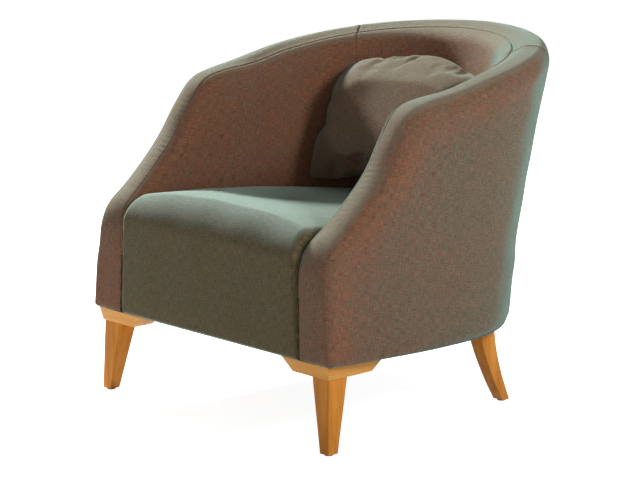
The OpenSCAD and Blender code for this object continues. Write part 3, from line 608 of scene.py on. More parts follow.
def settle(piece):
    """Replaces a piece's mesh by its evaluated one and drops the modifiers"""
    seen = piece.evaluated_get(bpy.context.evaluated_depsgraph_get())
    mesh = bpy.data.meshes.new_from_object(seen)
    piece.modifiers.clear()
    old, piece.data = piece.data, mesh
    mesh.name = piece.name
    bpy.data.meshes.remove(old)
    return piece


def thicken(piece):
    """Gives a cover its thickness on the inside, with closed edges"""
    shell = piece.modifiers.new("thickness", "SOLIDIFY")
    shell.thickness, shell.offset = COVER_THICK, -1
    return settle(piece)


print("mesh helpers ready")

# %% [markdown]
# The upholsterer's work shows in small things: the cloth dips into every seam and swells beside
# it, it gathers in short ripples where it is eased round the arm's slope, and no face is quite
# flat. These are moves of the points along their normals, from smooth waves with fixed seeds.

# %% Waves and seams
def waves(x, y, seed, count=7):
    """Smooth, repeatable unevenness between about -1 and 1; x and y are in wavelengths"""
    chance = np.random.default_rng(seed)
    total = np.zeros(np.broadcast(x, y).shape)
    for _ in range(count):
        a, b = chance.uniform(0.55, 1.6), chance.uniform(-1.6, 1.6)
        total = total + np.sin(2 * math.pi * (a * x + b * y) + chance.uniform(0, 6.28))
    return total / count * 1.6


def groove(x, y, px, py, turn, long, wide, deep, ridge, ridge_at, ridge_wide):
    """A short straight fold at a place, with a soft ridge beside it"""
    a = (x - px) * math.cos(turn) + (y - py) * math.sin(turn)
    b = (y - py) * math.cos(turn) - (x - px) * math.sin(turn)
    return deep * np.exp(-(a / long) ** 2) * (
        np.exp(-(b / wide) ** 2) - ridge * np.exp(-((b - ridge_at) / ridge_wide) ** 2))


def seam_dip(distance, width=0.0015, depth=0.0024):
    """How far the cloth dips at a distance from its seam, and swells beside it"""
    return 0.0009 * np.exp(-(distance / 0.011) ** 2) - (depth + 0.0009) * np.exp(
        -(distance / width) ** 2)


print("seam depth:", round(float(seam_dip(np.array(0.0))) * 1000, 2), "mm")

# %% A cover laid on the wall
def turn_cloth(piece, share):
    """How much more of the green yarns shows at each point than of the rust ones, partly painted
    sheen and painted shade
    """
    turned = piece.data.attributes.new("shot", "FLOAT", "POINT")
    turned.data.foreach_set("value", np.asarray(share, np.float32))


def hem_drop(s):
    """How far the outer covers hang below the base, which grows towards the back"""
    return 0.0020 * smooth(fold(s) / 0.08) + 0.0085 * smooth((fold(s) / PATH_LEN - 0.12) / 0.50)


def lay_cover(name, at_stops, section, face_depth, low_z, shape, upright=None, rows=60,
              mirrored=False, hem=False, shot=lambda point: -0.13):
    """section(s, z) gives (d, k, run): depth, fall from the rim and distance from its seam"""
    # The strip along the rim, and where its points lie on the flat cloth
    s, z, us, uz = rim_at(at_stops)
    d, k, run = section(s, z)
    n, m = d.shape
    ps, pz = s[:, None] - k * us[:, None], np.maximum(z[:, None] - k * uz[:, None], BASE_Z)
    fall = run[:, -1:] - run
    cs, cz = s[:, None] - (k[:, -1:] - fall) * us[:, None], z[:, None] - (
        k[:, -1:] - fall) * uz[:, None]
    strip = dict(s=ps, z=pz, d=d, run=run, t=np.repeat(at_stops[:, None], m, 1), u=cs, v=cz)
    # The columns that hang from the strip; the first one is the strip's own upright edge
    first = 0 if upright is None else int(np.searchsorted(pz[:upright + 1, -1], low_z))
    start = 0 if upright is None else upright
    top_s, top_z = ps[start:, -1], pz[start:, -1]
    if upright is None:
        share = np.linspace(0, 1, rows + 1)
        foot_s = top_s
    else:
        edge_s, edge_z = ps[first:upright + 1, -1], pz[first:upright + 1, -1]
        share = (edge_z - edge_z[0]) / (edge_z[-1] - edge_z[0])
        foot_s = top_s + (edge_s[0] - edge_s[-1]) * np.exp(-(top_s - top_s[0]) / 0.1)
    bottom = BASE_Z if upright is not None and first == 0 else low_z
    hs = foot_s[:, None] + (top_s - foot_s)[:, None] * share
    hz = bottom + (top_z - bottom)[:, None] * share
    if upright is not None:
        hs[0], hz[0] = edge_s, edge_z
    hang = dict(s=hs, z=hz, d=face_depth(hs) + 0 * hs, run=run[0, -1] + (top_z[:, None] - hz),
                t=np.repeat(at_stops[start:, None], hs.shape[1], 1), u=hs, v=hz)
    # One numbering for both parts, with the shared points counted once
    keep = np.ones(hs.shape, bool)
    keep[:, -1] = False
    if upright is not None:
        keep[0, :] = False
    ids = np.arange(n * m).reshape(n, m)
    under = np.full(hs.shape, -1)
    under[keep] = n * m + np.arange(keep.sum())
    under[:, -1] = ids[start:, -1]
    if upright is not None:
        under[0, :] = ids[first:upright + 1, -1]
    point = {key: np.concatenate([strip[key].ravel(), hang[key][keep]]) for key in strip}
    faces = np.vstack([grid_faces(ids[first:]), grid_faces(under)[:, ::-1]])
    # Only points that a face uses are kept
    places = on_wall(point["s"], point["z"], point["d"])
    used = np.zeros(len(places), bool)
    used[faces.ravel()] = True
    renumber = np.cumsum(used) - 1
    point = {key: value[used] for key, value in point.items()}
    faces, places = renumber[faces], places[used]
    piece = mesh_piece(name, places, faces, np.stack([point["u"], point["v"]], -1))
    # The faces look out of the wall, and the cloth's shape moves the points along their normals
    inward = on_wall(point["s"], point["z"], point["d"] + 0.01) - places
    flat = (point["run"] > run[0, -1] + 0.03)
    facing = (normals_of(piece) * inward)[flat].sum()
    wanted = 1 if face_depth(np.array(0.3)) < 0.01 else -1
    if facing * wanted > 0:
        piece.data.flip_normals()
        piece.data.update()
    places = places + normals_of(piece) * shape(point)[:, None]
    if hem:
        places[:, 2] -= hem_drop(point["s"]) * smooth((0.29 - point["z"]) / (0.29 - BASE_Z))
    if mirrored:
        places[:, 0] *= -1
        piece.data.flip_normals()
    place_points(piece, places)
    turn_cloth(piece, shot(point) + 0 * point["z"])
    return thicken(piece)


def cover_shape(point):
    """The dips at a cover's rim seam, which is slack on the slopes, and at its cross seams"""
    end = np.minimum(abs(point["s"] - SEAM_S), abs(point["s"] - (2 * PATH_LEN - SEAM_S)))
    tight = 0.3 + 0.7 * smooth((point["z"] - 0.60) / 0.04)
    return seam_dip(point["run"]) * tight + seam_dip(end)


def gathers(point, seed):
    """Short ripples across the seam, where the cloth is eased round the arm's slope"""
    slope = smooth((point["z"] - 0.40) / 0.05) * smooth((0.65 - point["z"]) / 0.05)
    return 0.0009 * slope * waves(point["t"] / 0.0085, point["run"] / 0.09, seed) * np.exp(
        -(point["run"] / 0.028) ** 2)


print("cover helper ready")

# %% [markdown]
# ## The arm covers
# On each arm one piece of cloth runs from the seam inside the rim over the padded edge and down
# the outside to the base. The edge is tight at the arm's foot and opens out as it climbs. The
# back's outside is made the same way, between the two cross seams.

# %% The section over the rim
def inner_r(z):
    """Radius of the rim's inner edge"""
    return 0.006 + (RIM_INNER - 0.006) * smooth((z - BASE_Z - 0.1) / (0.35 * WALL_H))


def outer_r(z):
    """Radius of the rim's outer edge: tight at the arm's foot, wide where the rim is high"""
    return RIM_FOOT + (RIM_MIDDLE - RIM_FOOT) * smooth((z - BASE_Z) / 0.26) + (
        RIM_OUTER - RIM_MIDDLE) * smooth((z - 0.54) / 0.15)


def run_along(d, k):
    """The distance that each section has gone from its seam"""
    return np.hstack([0 * k[:, :1], np.cumsum(np.hypot(np.diff(d), np.diff(k)), 1)])


def crown_drop(s, d):
    """How far the rim's top falls towards its edges"""
    on_slope = smooth((fold(s) - 0.006) / 0.045)
    behind = smooth((fold(s) / PATH_LEN - 0.28) / 0.20)
    deep = CROWN_FOOT + (CROWN_ARM - CROWN_FOOT) * on_slope + (CROWN_BACK - CROWN_ARM) * behind
    inward = RIM_TUCK * behind * smooth((2 * d / wall_t(s) - 1) / 0.6)
    return deep * (2 * d / wall_t(s) - 1) ** 2 + inward - 0.0035 * on_slope * (1 - behind)


def over_rim(s, z):
    """From the inner seam over the crown and down to the outer face"""
    s = s[:, None]
    t, ri, ro = wall_t(s), inner_r(z)[:, None], outer_r(z)[:, None]
    d1 = t - ri - CLOSE[None, :]
    d2 = d1[:, -1:] + (ro - d1[:, -1:]) * np.linspace(0, 1, 15)[None, 1:-1]
    b = np.linspace(math.pi / 2, 0, 14)[None, :]
    d3, k3 = ro * (1 - np.cos(b)), ro * (1 - np.sin(b))
    d = np.hstack([d1, d2, d3])
    k = np.hstack([0 * d1, 0 * d2, k3]) + crown_drop(s, d)
    k4 = k[:, -1:] + (RIM_DEEP - k[:, -1:]) * np.array([0.5, 1])[None, :]
    d, k = np.hstack([d, 0 * k4]), np.hstack([k, k4])
    return d, k, run_along(d, k)


def arm_shape(seed):
    """How far an outer cover's points move out: seams, gathers, waves, its foot"""
    def shape(point):
        run, t, z = point["run"], point["t"], point["z"]
        eased = gathers(point, seed)
        shoulder = smooth((z - 0.60) / 0.05)
        fine = 0.00028 * shoulder * waves(t / 0.012, run / 0.06, seed + 1) * np.exp(
            -(run / 0.012) ** 2)
        broad = 0.0009 * waves(point["u"] / 0.16, point["v"] / 0.14, seed + 2) * smooth(
            (run - 0.03) / 0.1)
        edge = smooth((z - BASE_Z) / 0.01)
        flare = 0.0045 * smooth((0.335 - z) / 0.055) * np.clip(1 - point["d"] / 0.03, 0, 1)
        return (cover_shape(point) + eased + fine + broad) * edge + flare - turn_under(z)
    return shape


def outside_painted_sheen(point):
    """Painted sheen: the flat outside is made greener, more so towards the back, and a faint band
    is made more rust where it turns over the slope
    """
    run, s, z = point["run"], fold(point["s"]), point["z"]
    flat = smooth((run - 0.11) / 0.09) * smooth((s - 0.01) / 0.09)
    turning = np.exp(-((run - 0.125) / 0.035) ** 2) * smooth((z - 0.36) / 0.08) * smooth(
        (0.72 - z) / 0.08)
    return 0.30 * flat * (1 + 0.45 * smooth((s - 0.22) / 0.25)) - 0.03 * turning


def front_sheen_and_shade(side):
    """The same, with painted shade: the left arm's front is made a little redder than the right
    one's, as it gets less light
    """
    def shot(point):
        front = smooth((0.012 - fold(point["s"])) / 0.012) * smooth((0.47 - point["z"]) / 0.06)
        return outside_painted_sheen(point) - (0.16 if side == "left" else -0.03) * front
    return shot


def turn_under(z, r=0.0045):
    """How far the cloth draws in where it turns under the base"""
    near = np.clip(r - (z - BASE_Z), 0, r)
    return r - np.sqrt(np.maximum(r * r - near * near, 0))


outside = []
for side, seed in (("right", 11), ("left", 23)):
    piece = lay_cover(f"arm_cover_{side}", ARM_STOPS, over_rim, lambda s: 0 * s, BASE_Z,
                      upright=UPRIGHT_STOP, shape=arm_shape(seed), mirrored=side == "left",
                      hem=True, shot=front_sheen_and_shade(side))
    outside.append(piece)
    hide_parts(f"rim_band_{side}", f"outer_cover_{side}")
    print(piece.name, "faces:", len(piece.data.polygons))

# %% The outside of the back
back_outside = lay_cover("back_cover", BACK_STOPS, over_rim, lambda s: 0 * s, BASE_Z, rows=80,
                         shape=arm_shape(37), hem=True, shot=outside_painted_sheen)
outside.append(back_outside)
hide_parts("rim_band_back", "outer_cover_back")
print(back_outside.name, "faces:", len(back_outside.data.polygons))

# %% [markdown]
# ## The inside of the walls
# The linings start at the same seam and go down behind the seat. Foam under them makes them
# plumper than the outside, so they swell a little between the rim and the seat.

# %% The linings
LINING_LOW, LINING_DEEP = 0.30, 0.058


def below_rim(s, z):
    """From the inner seam over the inner edge and down the inner face"""
    s = s[:, None]
    t, ri = wall_t(s), inner_r(z)[:, None]
    share = np.array([0, 0.015, 0.03, 0.05, 0.08, 0.13, 0.21, 0.32, 0.45, 0.6, 0.8, 1])
    a = math.pi / 2 * (1 - share[None, :])
    d1 = t - ri * (1 - np.cos(a))
    k1 = crown_drop(s, d1) + ri * (1 - np.sin(a))
    k2 = k1[:, -1:] + (LINING_DEEP - k1[:, -1:]) * np.array([0.35, 0.7, 1])[None, :]
    d, k = np.hstack([d1, t + 0 * k2]), np.hstack([k1, k2])
    return d, k, run_along(d, k)


def lining_shape(seed):
    """How far a lining's points move out: seams, plump foam, waves"""
    def shape(point):
        run, z = point["run"], point["z"]
        plump = 0.0022 * smooth(run / 0.07) * smooth((z - 0.36) / 0.1)
        broad = 0.0011 * waves(point["u"] / 0.19, point["v"] / 0.16, seed) * smooth(
            (run - 0.01) / 0.08)
        fine = 0.0003 * waves(point["t"] / 0.013, run / 0.05, seed + 1) * np.exp(
            -(run / 0.012) ** 2)
        return cover_shape(point) + plump + broad + fine
    return shape


linings = []
for side, seed in (("right", 51), ("left", 63)):
    piece = lay_cover(f"arm_lining_{side}", ARM_STOPS, below_rim, wall_t, LINING_LOW,
                      upright=UPRIGHT_STOP, shape=lining_shape(seed), mirrored=side == "left")
    linings.append(piece)
    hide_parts(f"inner_cover_{side}")
back_lining = lay_cover("back_lining", BACK_STOPS, below_rim, wall_t, LINING_LOW, rows=70,
                        shape=lining_shape(77))
linings.append(back_lining)
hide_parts("inner_cover_back")
for piece in linings:
    print(piece.name, "faces:", len(piece.data.polygons))

# %% [markdown]
# ## The seat
# The seat is one cover over a foam block: it goes up the front, over a rolled edge and back
# between the arms, falling as it goes. It is laid as rows across, each with a full crown that
# drops quickly at the sides, where the cloth is pulled down into the gap beside the arms.

# %% Rows of the seat
SEAT_Z, SEAT_CROWN, SEAT_FALL, ROLL_R, SKIRT = 0.430, 0.024, 0.056, 0.052, 0.022


def seat_side(s):
    """Height of the seat beside the arms"""
    return SEAT_Z - SEAT_FALL * np.maximum(0, s - ROLL_R) / (PATH_LEN - ROLL_R)


def seat_relief(s):
    """How much flatter the crown lies towards the back, where the filling thins out"""
    return 0.013 * smooth((s - 0.10) / 0.40)


def seat_profile():
    """Rows as (s, z, share of the crown, direction out of the seat in Y and Z)"""
    rows = [(0.0, z, 0.0, -1.0, 0.0) for z in np.linspace(BASE_Z, SEAT_Z - ROLL_R, 36)[:-1]]
    for a in np.linspace(0, math.pi / 2, 26):
        rows.append((ROLL_R * (1 - math.cos(a)), SEAT_Z - ROLL_R + ROLL_R * math.sin(a),
                     float(smooth(a / (math.pi / 2))), -math.cos(a), math.sin(a)))
    for s in np.linspace(ROLL_R, 0.97 * PATH_LEN, 120)[1:]:
        rows.append((s, float(seat_side(s)), 1.0, 0.0, 1.0))
    return np.array(rows)


def seat_columns():
    """Columns across the seat from -1 to 1, close together at the arms"""
    edge = np.array([0, 0.0012, 0.0025, 0.004, 0.006, 0.0085, 0.012, 0.018]) / 0.278
    inner = np.linspace(-1 + edge[-1], 1 - edge[-1], 76)
    return np.concatenate([-1 + edge[:-1], inner, (1 - edge[:-1])[::-1]])


def build_seat():
    """The seat's cover as one sheet, with a skirt down into the gap at each side"""
    rows, across = seat_profile(), seat_columns()
    s, z, crown, ny, nz = (rows[:, k:k + 1] for k in range(5))
    # Each row spans from wall to wall, crowned and drawn down at its ends
    edge = on_wall(s[:, 0], z[:, 0], wall_t(s[:, 0]) + 0.0008)
    half, y = edge[:, 0:1], edge[:, 1:2]
    x = across[None, :] * half
    full = 1 - np.abs(across[None, :]) ** 3
    lift = (SEAT_CROWN - seat_relief(s)) * crown * full
    side_r = 0.009 + 0.013 * crown
    side = np.clip(1 - (half - np.abs(x)) / side_r, 0, 1)
    drop = side_r * (1 - np.sqrt(1 - side ** 2))
    puff = 0.0030 * (1 - crown) * full * np.clip((z - BASE_Z) / 0.03, 0, 1)
    py, pz = y + 0 * x, z + lift
    # The foam's slow waves and the pulled folds
    broad = 0.0012 * waves(x / 0.21, (z + y) / 0.18, 91) * full
    pulls = pull_folds(x, y - FRONT_Y) * crown
    out = puff + broad + pulls - drop - turn_under(z)
    py, pz = py + ny * out, pz + nz * out
    run = np.concatenate([[0], np.cumsum(np.hypot(np.diff(rows[:, 0]), np.diff(rows[:, 1])))])
    points = np.stack([x, py, pz], -1)
    # The skirts down into the gaps
    skirts = []
    for column, sign in ((0, 1), (-1, -1)):
        skirt = points[:, column].copy()
        skirt[:, 1:] -= rows[:, 3:5] * SKIRT
        skirt[:, 0] += sign * 0.0006
        skirts.append(skirt)
    grid = np.concatenate([skirts[0][:, None], points, skirts[1][:, None]], 1)
    u = np.concatenate([x[:, :1] - SKIRT, x, x[:, -1:] + SKIRT], 1)
    v = np.repeat(run[:, None], grid.shape[1], 1)
    n, m = grid.shape[:2]
    faces = grid_faces(np.arange(n * m).reshape(n, m), flipped=True)
    return mesh_piece("seat_pad", grid.reshape(-1, 3), faces,
                      np.stack([u, v], -1).reshape(-1, 2))


def pull_folds(x, y):
    """Short folds where the cover is pulled towards the arms behind the roll"""
    total = 0
    for px, py, turn, long, deep in (
            (0.205, 0.19, 0.9, 0.034, 0.0016), (0.185, 0.235, 0.7, 0.030, 0.0013),
            (0.225, 0.150, 1.1, 0.026, 0.0013), (-0.215, 0.16, -0.9, 0.030, 0.0010)):
        total = total - groove(x, y, px, py, turn, long, 0.0045, deep, 0.6, 0.009, 0.006)
    return total


seat = thicken(build_seat())
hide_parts("seat_cover")
print(seat.name, "faces:", len(seat.data.polygons), "crown at",
      round(float(places_of(seat)[:, 2].max()), 3), "m")

# %% [markdown]
# ## The cushion
# A loose cushion is two panels sewn round their edge and stuffed. Modelled by hand it looks like
# a pebble, so it is made as it is sewn: a flat bag of cloth is blown up by the cloth solver,
# which pulls the edges in and puckers the corners by itself. The result is applied, then leaned
# in its place and pressed against the seat and the back.

# %% The flat bag
CUSHION_W, CUSHION_H, CUSHION_T = 0.430, 0.290, 0.112
CUSHION_LEAN = math.radians(26)


def flat_bag(cols=72, rows=48):
    """Two panels that share their edge, a little larger than the stuffed cushion"""
    w, h = CUSHION_W / 2 + 0.021, CUSHION_H / 2 + 0.026
    gu, gv = np.meshgrid(np.linspace(-1, 1, cols + 1), np.linspace(-1, 1, rows + 1),
                         indexing="ij")
    bulge = 0.97 + 0.16 * np.exp(-((gu - 0.15) / 0.60) ** 2)
    side = 1 + 0.050 * (1 - gv ** 2)
    x, z = w * gu * side, h * gv * np.where(gv > 0, bulge, 1 + 0.015 * (1 - gu ** 2))
    corner = (np.abs(gu) * np.abs(gv)) ** 3 * np.where((gu < 0) & (gv > 0), 0.13, 0.05)
    x, z = x * (1 - corner), z * (1 - corner)
    depth = 0.010 * (1 - gu ** 4) * (1 - gv ** 4)
    ids = np.arange((cols + 1) * (rows + 1)).reshape(cols + 1, rows + 1)
    inside = np.zeros_like(ids, bool)
    inside[1:-1, 1:-1] = True
    rear = ids.copy()
    rear[inside] = ids.size + np.arange(inside.sum())
    points = np.vstack([np.stack([x, -depth, z], -1).reshape(-1, 3),
                        np.stack([x, depth, z], -1)[inside]])
    faces = np.vstack([grid_faces(ids), grid_faces(rear, flipped=True)])
    cloth = points[:, [0, 2]]
    rim = np.zeros(len(points), bool)
    rim[ids[~inside]] = True
    return points, faces, cloth, rim


bag_points, bag_faces, bag_cloth, bag_rim = flat_bag()
print("bag points:", len(bag_points))

# %% Blow it up
def blow_up(piece, frames=24, pressure=4.2, cap=0.058):
    """Runs the cloth solver, keeps each point within a distance and applies the result"""
    before = places_of(piece)
    solver = piece.modifiers.new("stuffing", "CLOTH")
    for label, value in (
            ("quality", 7), ("mass", 0.25), ("tension_stiffness", 22),
            ("compression_stiffness", 16), ("shear_stiffness", 9), ("bending_stiffness", 0.28),
            ("use_pressure", True), ("uniform_pressure_force", pressure)):
        setattr(solver.settings, label, value)
    solver.settings.effector_weights.gravity = 0
    solver.collision_settings.use_collision = False
    scene = bpy.context.scene
    for number in range(1, frames + 1):
        scene.frame_set(number)
    blown = settle(piece)
    scene.frame_set(1)
    move = places_of(blown) - before
    far = np.linalg.norm(move, axis=1, keepdims=True)
    place_points(blown, before + move * np.minimum(1, cap / np.maximum(far, 1e-9)))
    return blown


cushion = mesh_piece("loose_cushion", bag_points, bag_faces, bag_cloth)
cushion = blow_up(cushion)
span = places_of(cushion).max(0) - places_of(cushion).min(0)
print("cushion after stuffing:", [round(float(v), 3) for v in span])

# %% [markdown]
# The solver's cushion puckers all round, but the photograph shows a calm left edge, so that side
# is smoothed. The cushion is a few millimetres off the size of the frame's and is eased to it.
# Then come the folds that the photograph shows: two short slanting ones under the top edge near
# its corner, and one further along, where the filling has slipped.

# %% Fit, fold and lean the cushion
def ease_to_size(piece):
    """Scales the cushion to its size with the ease of a soft edge"""
    points = places_of(piece)
    low, high = points.min(0), points.max(0)
    points -= (low + high) / 2
    wanted = np.array([CUSHION_W + 0.024, CUSHION_T + 0.004, CUSHION_H + 0.024])
    points *= wanted / (high - low)
    place_points(piece, points)


def fold_cushion(piece):
    """Grooves in the front panel, each with a soft ridge beside it"""
    points, out = places_of(piece), normals_of(piece)
    front = smooth((-out[:, 1] - 0.05) / 0.3)
    x, z = points[:, 0], points[:, 2]
    move = np.zeros(len(points))
    for px, pz, turn, long, wide, deep in (
            (-0.050, 0.142, 0.70, 0.022, 0.0050, 0.0050),
            (-0.012, 0.136, 1.00, 0.025, 0.0050, 0.0055),
            (0.070, 0.148, 0.25, 0.020, 0.0050, 0.0025)):
        move -= groove(x, z, px, pz, turn, long, wide, deep, 0.35, 2.2 * wide, 1.5 * wide)
    hollow = -0.008 * np.exp(-((x + 0.120) / 0.10) ** 2 - ((z + 0.08) / 0.10) ** 2)
    full = smooth((-x - 0.12) / 0.08) * np.exp(-((z + 0.035) / 0.075) ** 2)
    lobe = 0.010 * np.exp(-((x + 0.135) / 0.060) ** 2 - ((z - 0.075) / 0.065) ** 2)
    points = points + out * ((move + hollow + lobe) * front)[:, None]
    points[:, 0] -= 0.010 * full
    place_points(piece, points)


def calm_side(piece, rounds=10):
    """Smooths the solver's puckers on the left, where the cushion's edge is seen"""
    points = places_of(piece)
    edges = np.array([edge.vertices[:] for edge in piece.data.edges])
    share = 0.5 * smooth((-points[:, 0] - 0.10) / 0.06)[:, None]
    count = np.bincount(edges.ravel(), minlength=len(points))[:, None]
    for _ in range(rounds):
        total = np.zeros_like(points)
        np.add.at(total, edges[:, 0], points[edges[:, 1]])
        np.add.at(total, edges[:, 1], points[edges[:, 0]])
        points += share * (total / count - points)
    place_points(piece, points)


def lean_and_press(piece):
    """Leans the cushion into its place and presses it flat where it rests"""
    low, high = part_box("cushion_filling")
    points = places_of(piece)
    c, k = math.cos(-CUSHION_LEAN), math.sin(-CUSHION_LEAN)
    y, z = points[:, 1].copy(), points[:, 2].copy()
    points[:, 1], points[:, 2] = c * y - k * z, k * y + c * z
    points += np.array([(low[i] + high[i]) / 2 for i in range(3)]) - (
        points.min(0) + points.max(0)) / 2
    points += (-0.007, 0, low[2] - 0.002 - points[:, 2].min())
    # What would reach into the round wall is pushed back out of it
    a = np.arctan2(points[:, 1] - (FRONT_Y + SIDE_LEN), np.abs(points[:, 0]) - BACK_FLAT / 2)
    s = SIDE_LEN + np.clip(a, 0, math.pi / 2) / (math.pi / 2) * ARC_LEN
    reach = np.hypot(points[:, 1] - (FRONT_Y + SIDE_LEN), np.maximum(
        np.abs(points[:, 0]) - BACK_FLAT / 2, 0))
    free = CORNER_R + lean(s) * rise(points[:, 2]) - wall_t(s) - 0.0052
    over = np.maximum(0, reach - free)
    points[:, 0] -= over * np.cos(a) * np.sign(points[:, 0])
    points[:, 1] -= over * np.sin(a)
    # What would sink into the seat lies on it
    s = np.clip(points[:, 1] - FRONT_Y, 0, SIDE_LEN)
    seat_here = seat_side(s) + (SEAT_CROWN - seat_relief(s)) * (
        1 - np.minimum(1, np.abs(points[:, 0]) / 0.27) ** 3)
    points[:, 2] = np.maximum(points[:, 2], seat_here + 0.0030)
    place_points(piece, points)


calm_side(cushion)
ease_to_size(cushion)
fold_cushion(cushion)
lean_and_press(cushion)
round_off = cushion.modifiers.new("rounding", "SUBSURF")
round_off.levels = round_off.render_levels = 1
settle(cushion)
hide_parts("cushion_cover")
print("cushion box:", [round(float(v), 3) for v in places_of(cushion).min(0)],
      [round(float(v), 3) for v in places_of(cushion).max(0)])

# %% The cushion's filling
FILLING_SHARE, FILLING_INSET = 0.90, 0.006


def filling_of(cover):
    """The fibre filling has its cover's own form, a little smaller"""
    piece = add_object("cushion_stuffing", cover.data.copy())
    points = places_of(piece) - normals_of(piece) * FILLING_INSET
    middle = (points.min(0) + points.max(0)) / 2
    place_points(piece, middle + (points - middle) * FILLING_SHARE)
    dress(piece, FINISH["cushion_fibre"])
    return piece


stuffing = filling_of(cushion)
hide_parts("cushion_filling")
print("filling:", stuffing.name)

# %% [markdown]
# ## The padding under the covers
# Foam and wadding are squeezed a little by the cloth stretched over them. The frame's own pads
# fill their covers to a hair, so each one that lies by a seam or a gap is copied, merged and drawn
# in along its normals. The rim's pads also sink under the tucked inner edge of the band. That
# keeps their shape, and no foam shows where the covers part.

# %% Squeezed padding
def object_from(work, name):
    """A new object from a working mesh, which is then let go"""
    mesh = bpy.data.meshes.new(name)
    work.to_mesh(mesh)
    work.free()
    return add_object(name, mesh)


def put_back(work, piece):
    """Writes a working mesh back to its piece and lets it go"""
    work.to_mesh(piece.data)
    work.free()


def cut_plane(work, place, normal):
    """Cuts a working mesh along a plane and keeps both sides"""
    bmesh.ops.bisect_plane(work, geom=work.verts[:] + work.edges[:] + work.faces[:],
                           plane_co=place, plane_no=normal, dist=0.00001)


def shade_smooth(piece, sharp):
    """Shades a piece smooth but for edges sharper than an angle in degrees"""
    piece.data.polygons.foreach_set("use_smooth", [True] * len(piece.data.polygons))
    piece.data.set_sharp_from_angle(angle=math.radians(sharp))


def merged_copy(node, name, dissolve=False):
    """A copy of a frame piece with its loose triangles joined"""
    work = bmesh.new()
    work.from_mesh(nodes[node].data)
    bmesh.ops.remove_doubles(work, verts=work.verts, dist=0.00002)
    if dissolve:
        bmesh.ops.dissolve_limit(work, angle_limit=math.radians(0.6), verts=work.verts,
                                 edges=work.edges)
    return object_from(work, name)


def squeezed(node, amount):
    """A pad's copy, drawn in by an amount"""
    piece = merged_copy(node, "squeezed_" + node)
    points = places_of(piece) - normals_of(piece) * amount
    if node == "seat_foam":
        above = smooth((points[:, 2] - 0.36) / 0.03)
        points[:, 2] -= seat_relief(points[:, 1] - FRONT_Y) * above
    if node.startswith("rim_pad"):
        points[:, 2] -= RIM_TUCK * smooth((points[:, 2] - 0.640) / 0.025)
        points[:, 2] = np.maximum(points[:, 2], BASE_Z + 0.002)
    place_points(piece, points)
    dress(piece, FINISH[slot_of[node]])
    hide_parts(node)
    return piece


padding = [squeezed("seat_foam", 0.006), squeezed("seat_front_pad", 0.004)]
padding += [squeezed("rim_pad_" + side, 0.0095) for side in ("right", "left", "back")]
print("padding:", [piece.name for piece in padding])

# %% [markdown]
# ## The oak pieces
# The frame's legs and brackets have true shapes but knife edges. A copy is merged, its flat
# faces are joined, and a small bevel softens every edge as sandpaper does. The brackets are cut
# along their corner, where the grain of one arm meets the other's. Each gets its grain attribute.

# %% Softened oak
def softened(node, name, edge, mitre=None):
    """A copy of a frame piece with merged faces and bevelled edges"""
    piece = merged_copy(node, name, dissolve=True)
    bevel = piece.modifiers.new("softened edges", "BEVEL")
    bevel.width, bevel.segments, bevel.limit_method = edge, 3, "ANGLE"
    bevel.angle_limit = math.radians(28)
    bevel.harden_normals = False
    settle(piece)
    if mitre is not None:
        work = bmesh.new()
        work.from_mesh(piece.data)
        cut_plane(work, *mitre)
        put_back(work, piece)
    shade_smooth(piece, 24)
    return piece


def set_grain(piece, way, shift):
    """Writes each corner's place, turned so that X runs along the fibres"""
    mesh = piece.data
    points = places_of(piece)
    layer = mesh.attributes.new("grain", "FLOAT_VECTOR", "CORNER")
    values = np.zeros((len(mesh.loops), 3), np.float32)
    for face in mesh.polygons:
        run = way(face.center)
        for corner in face.loop_indices:
            x, y, z = points[mesh.loops[corner].vertex_index]
            values[corner] = {"up": (z, x, y), "x": (x, y, z), "y": (y, x, z)}[run]
    values += np.array(shift, np.float32)
    layer.data.foreach_set("vector", values.ravel())


LEG_X1, LEG_Y0 = HALF_W - 0.008, FRONT_Y + 0.008
woodwork = []
for number, (side, hand) in enumerate((("right", 1), ("left", -1))):
    corner = Vector((hand * LEG_X1, LEG_Y0, 0))
    bracket = softened(f"front_bracket_{side}", f"oak_bracket_{side}", 0.0012,
                       (corner, Vector((hand, 1, 0)).normalized()))
    set_grain(bracket, lambda c, h=hand: "x" if abs(c.x - h * LEG_X1) > c.y - LEG_Y0 else "y",
              (0.31 * number, 0.13, 0.07))
    leg = softened(f"front_leg_{side}", f"oak_leg_{side}", 0.0016)
    set_grain(leg, lambda c: "up", (0.17 + 0.4 * number, 0.23, 0.51))
    rear = softened(f"rear_leg_{side}", f"oak_rear_leg_{side}", 0.0020)
    set_grain(rear, lambda c: "up", (0.77 + 0.3 * number, 0.41, 0.19))
    for piece, node in ((bracket, "front_bracket_"), (leg, "front_leg_"), (rear, "rear_leg_")):
        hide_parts(node + side)
        woodwork.append(piece)
print("oak pieces:", [piece.name for piece in woodwork])

# %% [markdown]
# ## Under the chair
# The black dust cloth is stretched under the base and stapled round its edge. The cover's cloth
# is turned under first, as a flat strip. The cloth is a flat sheet with a slight sag between the
# staples. The staples repeat along a line, so Geometry Nodes set them.

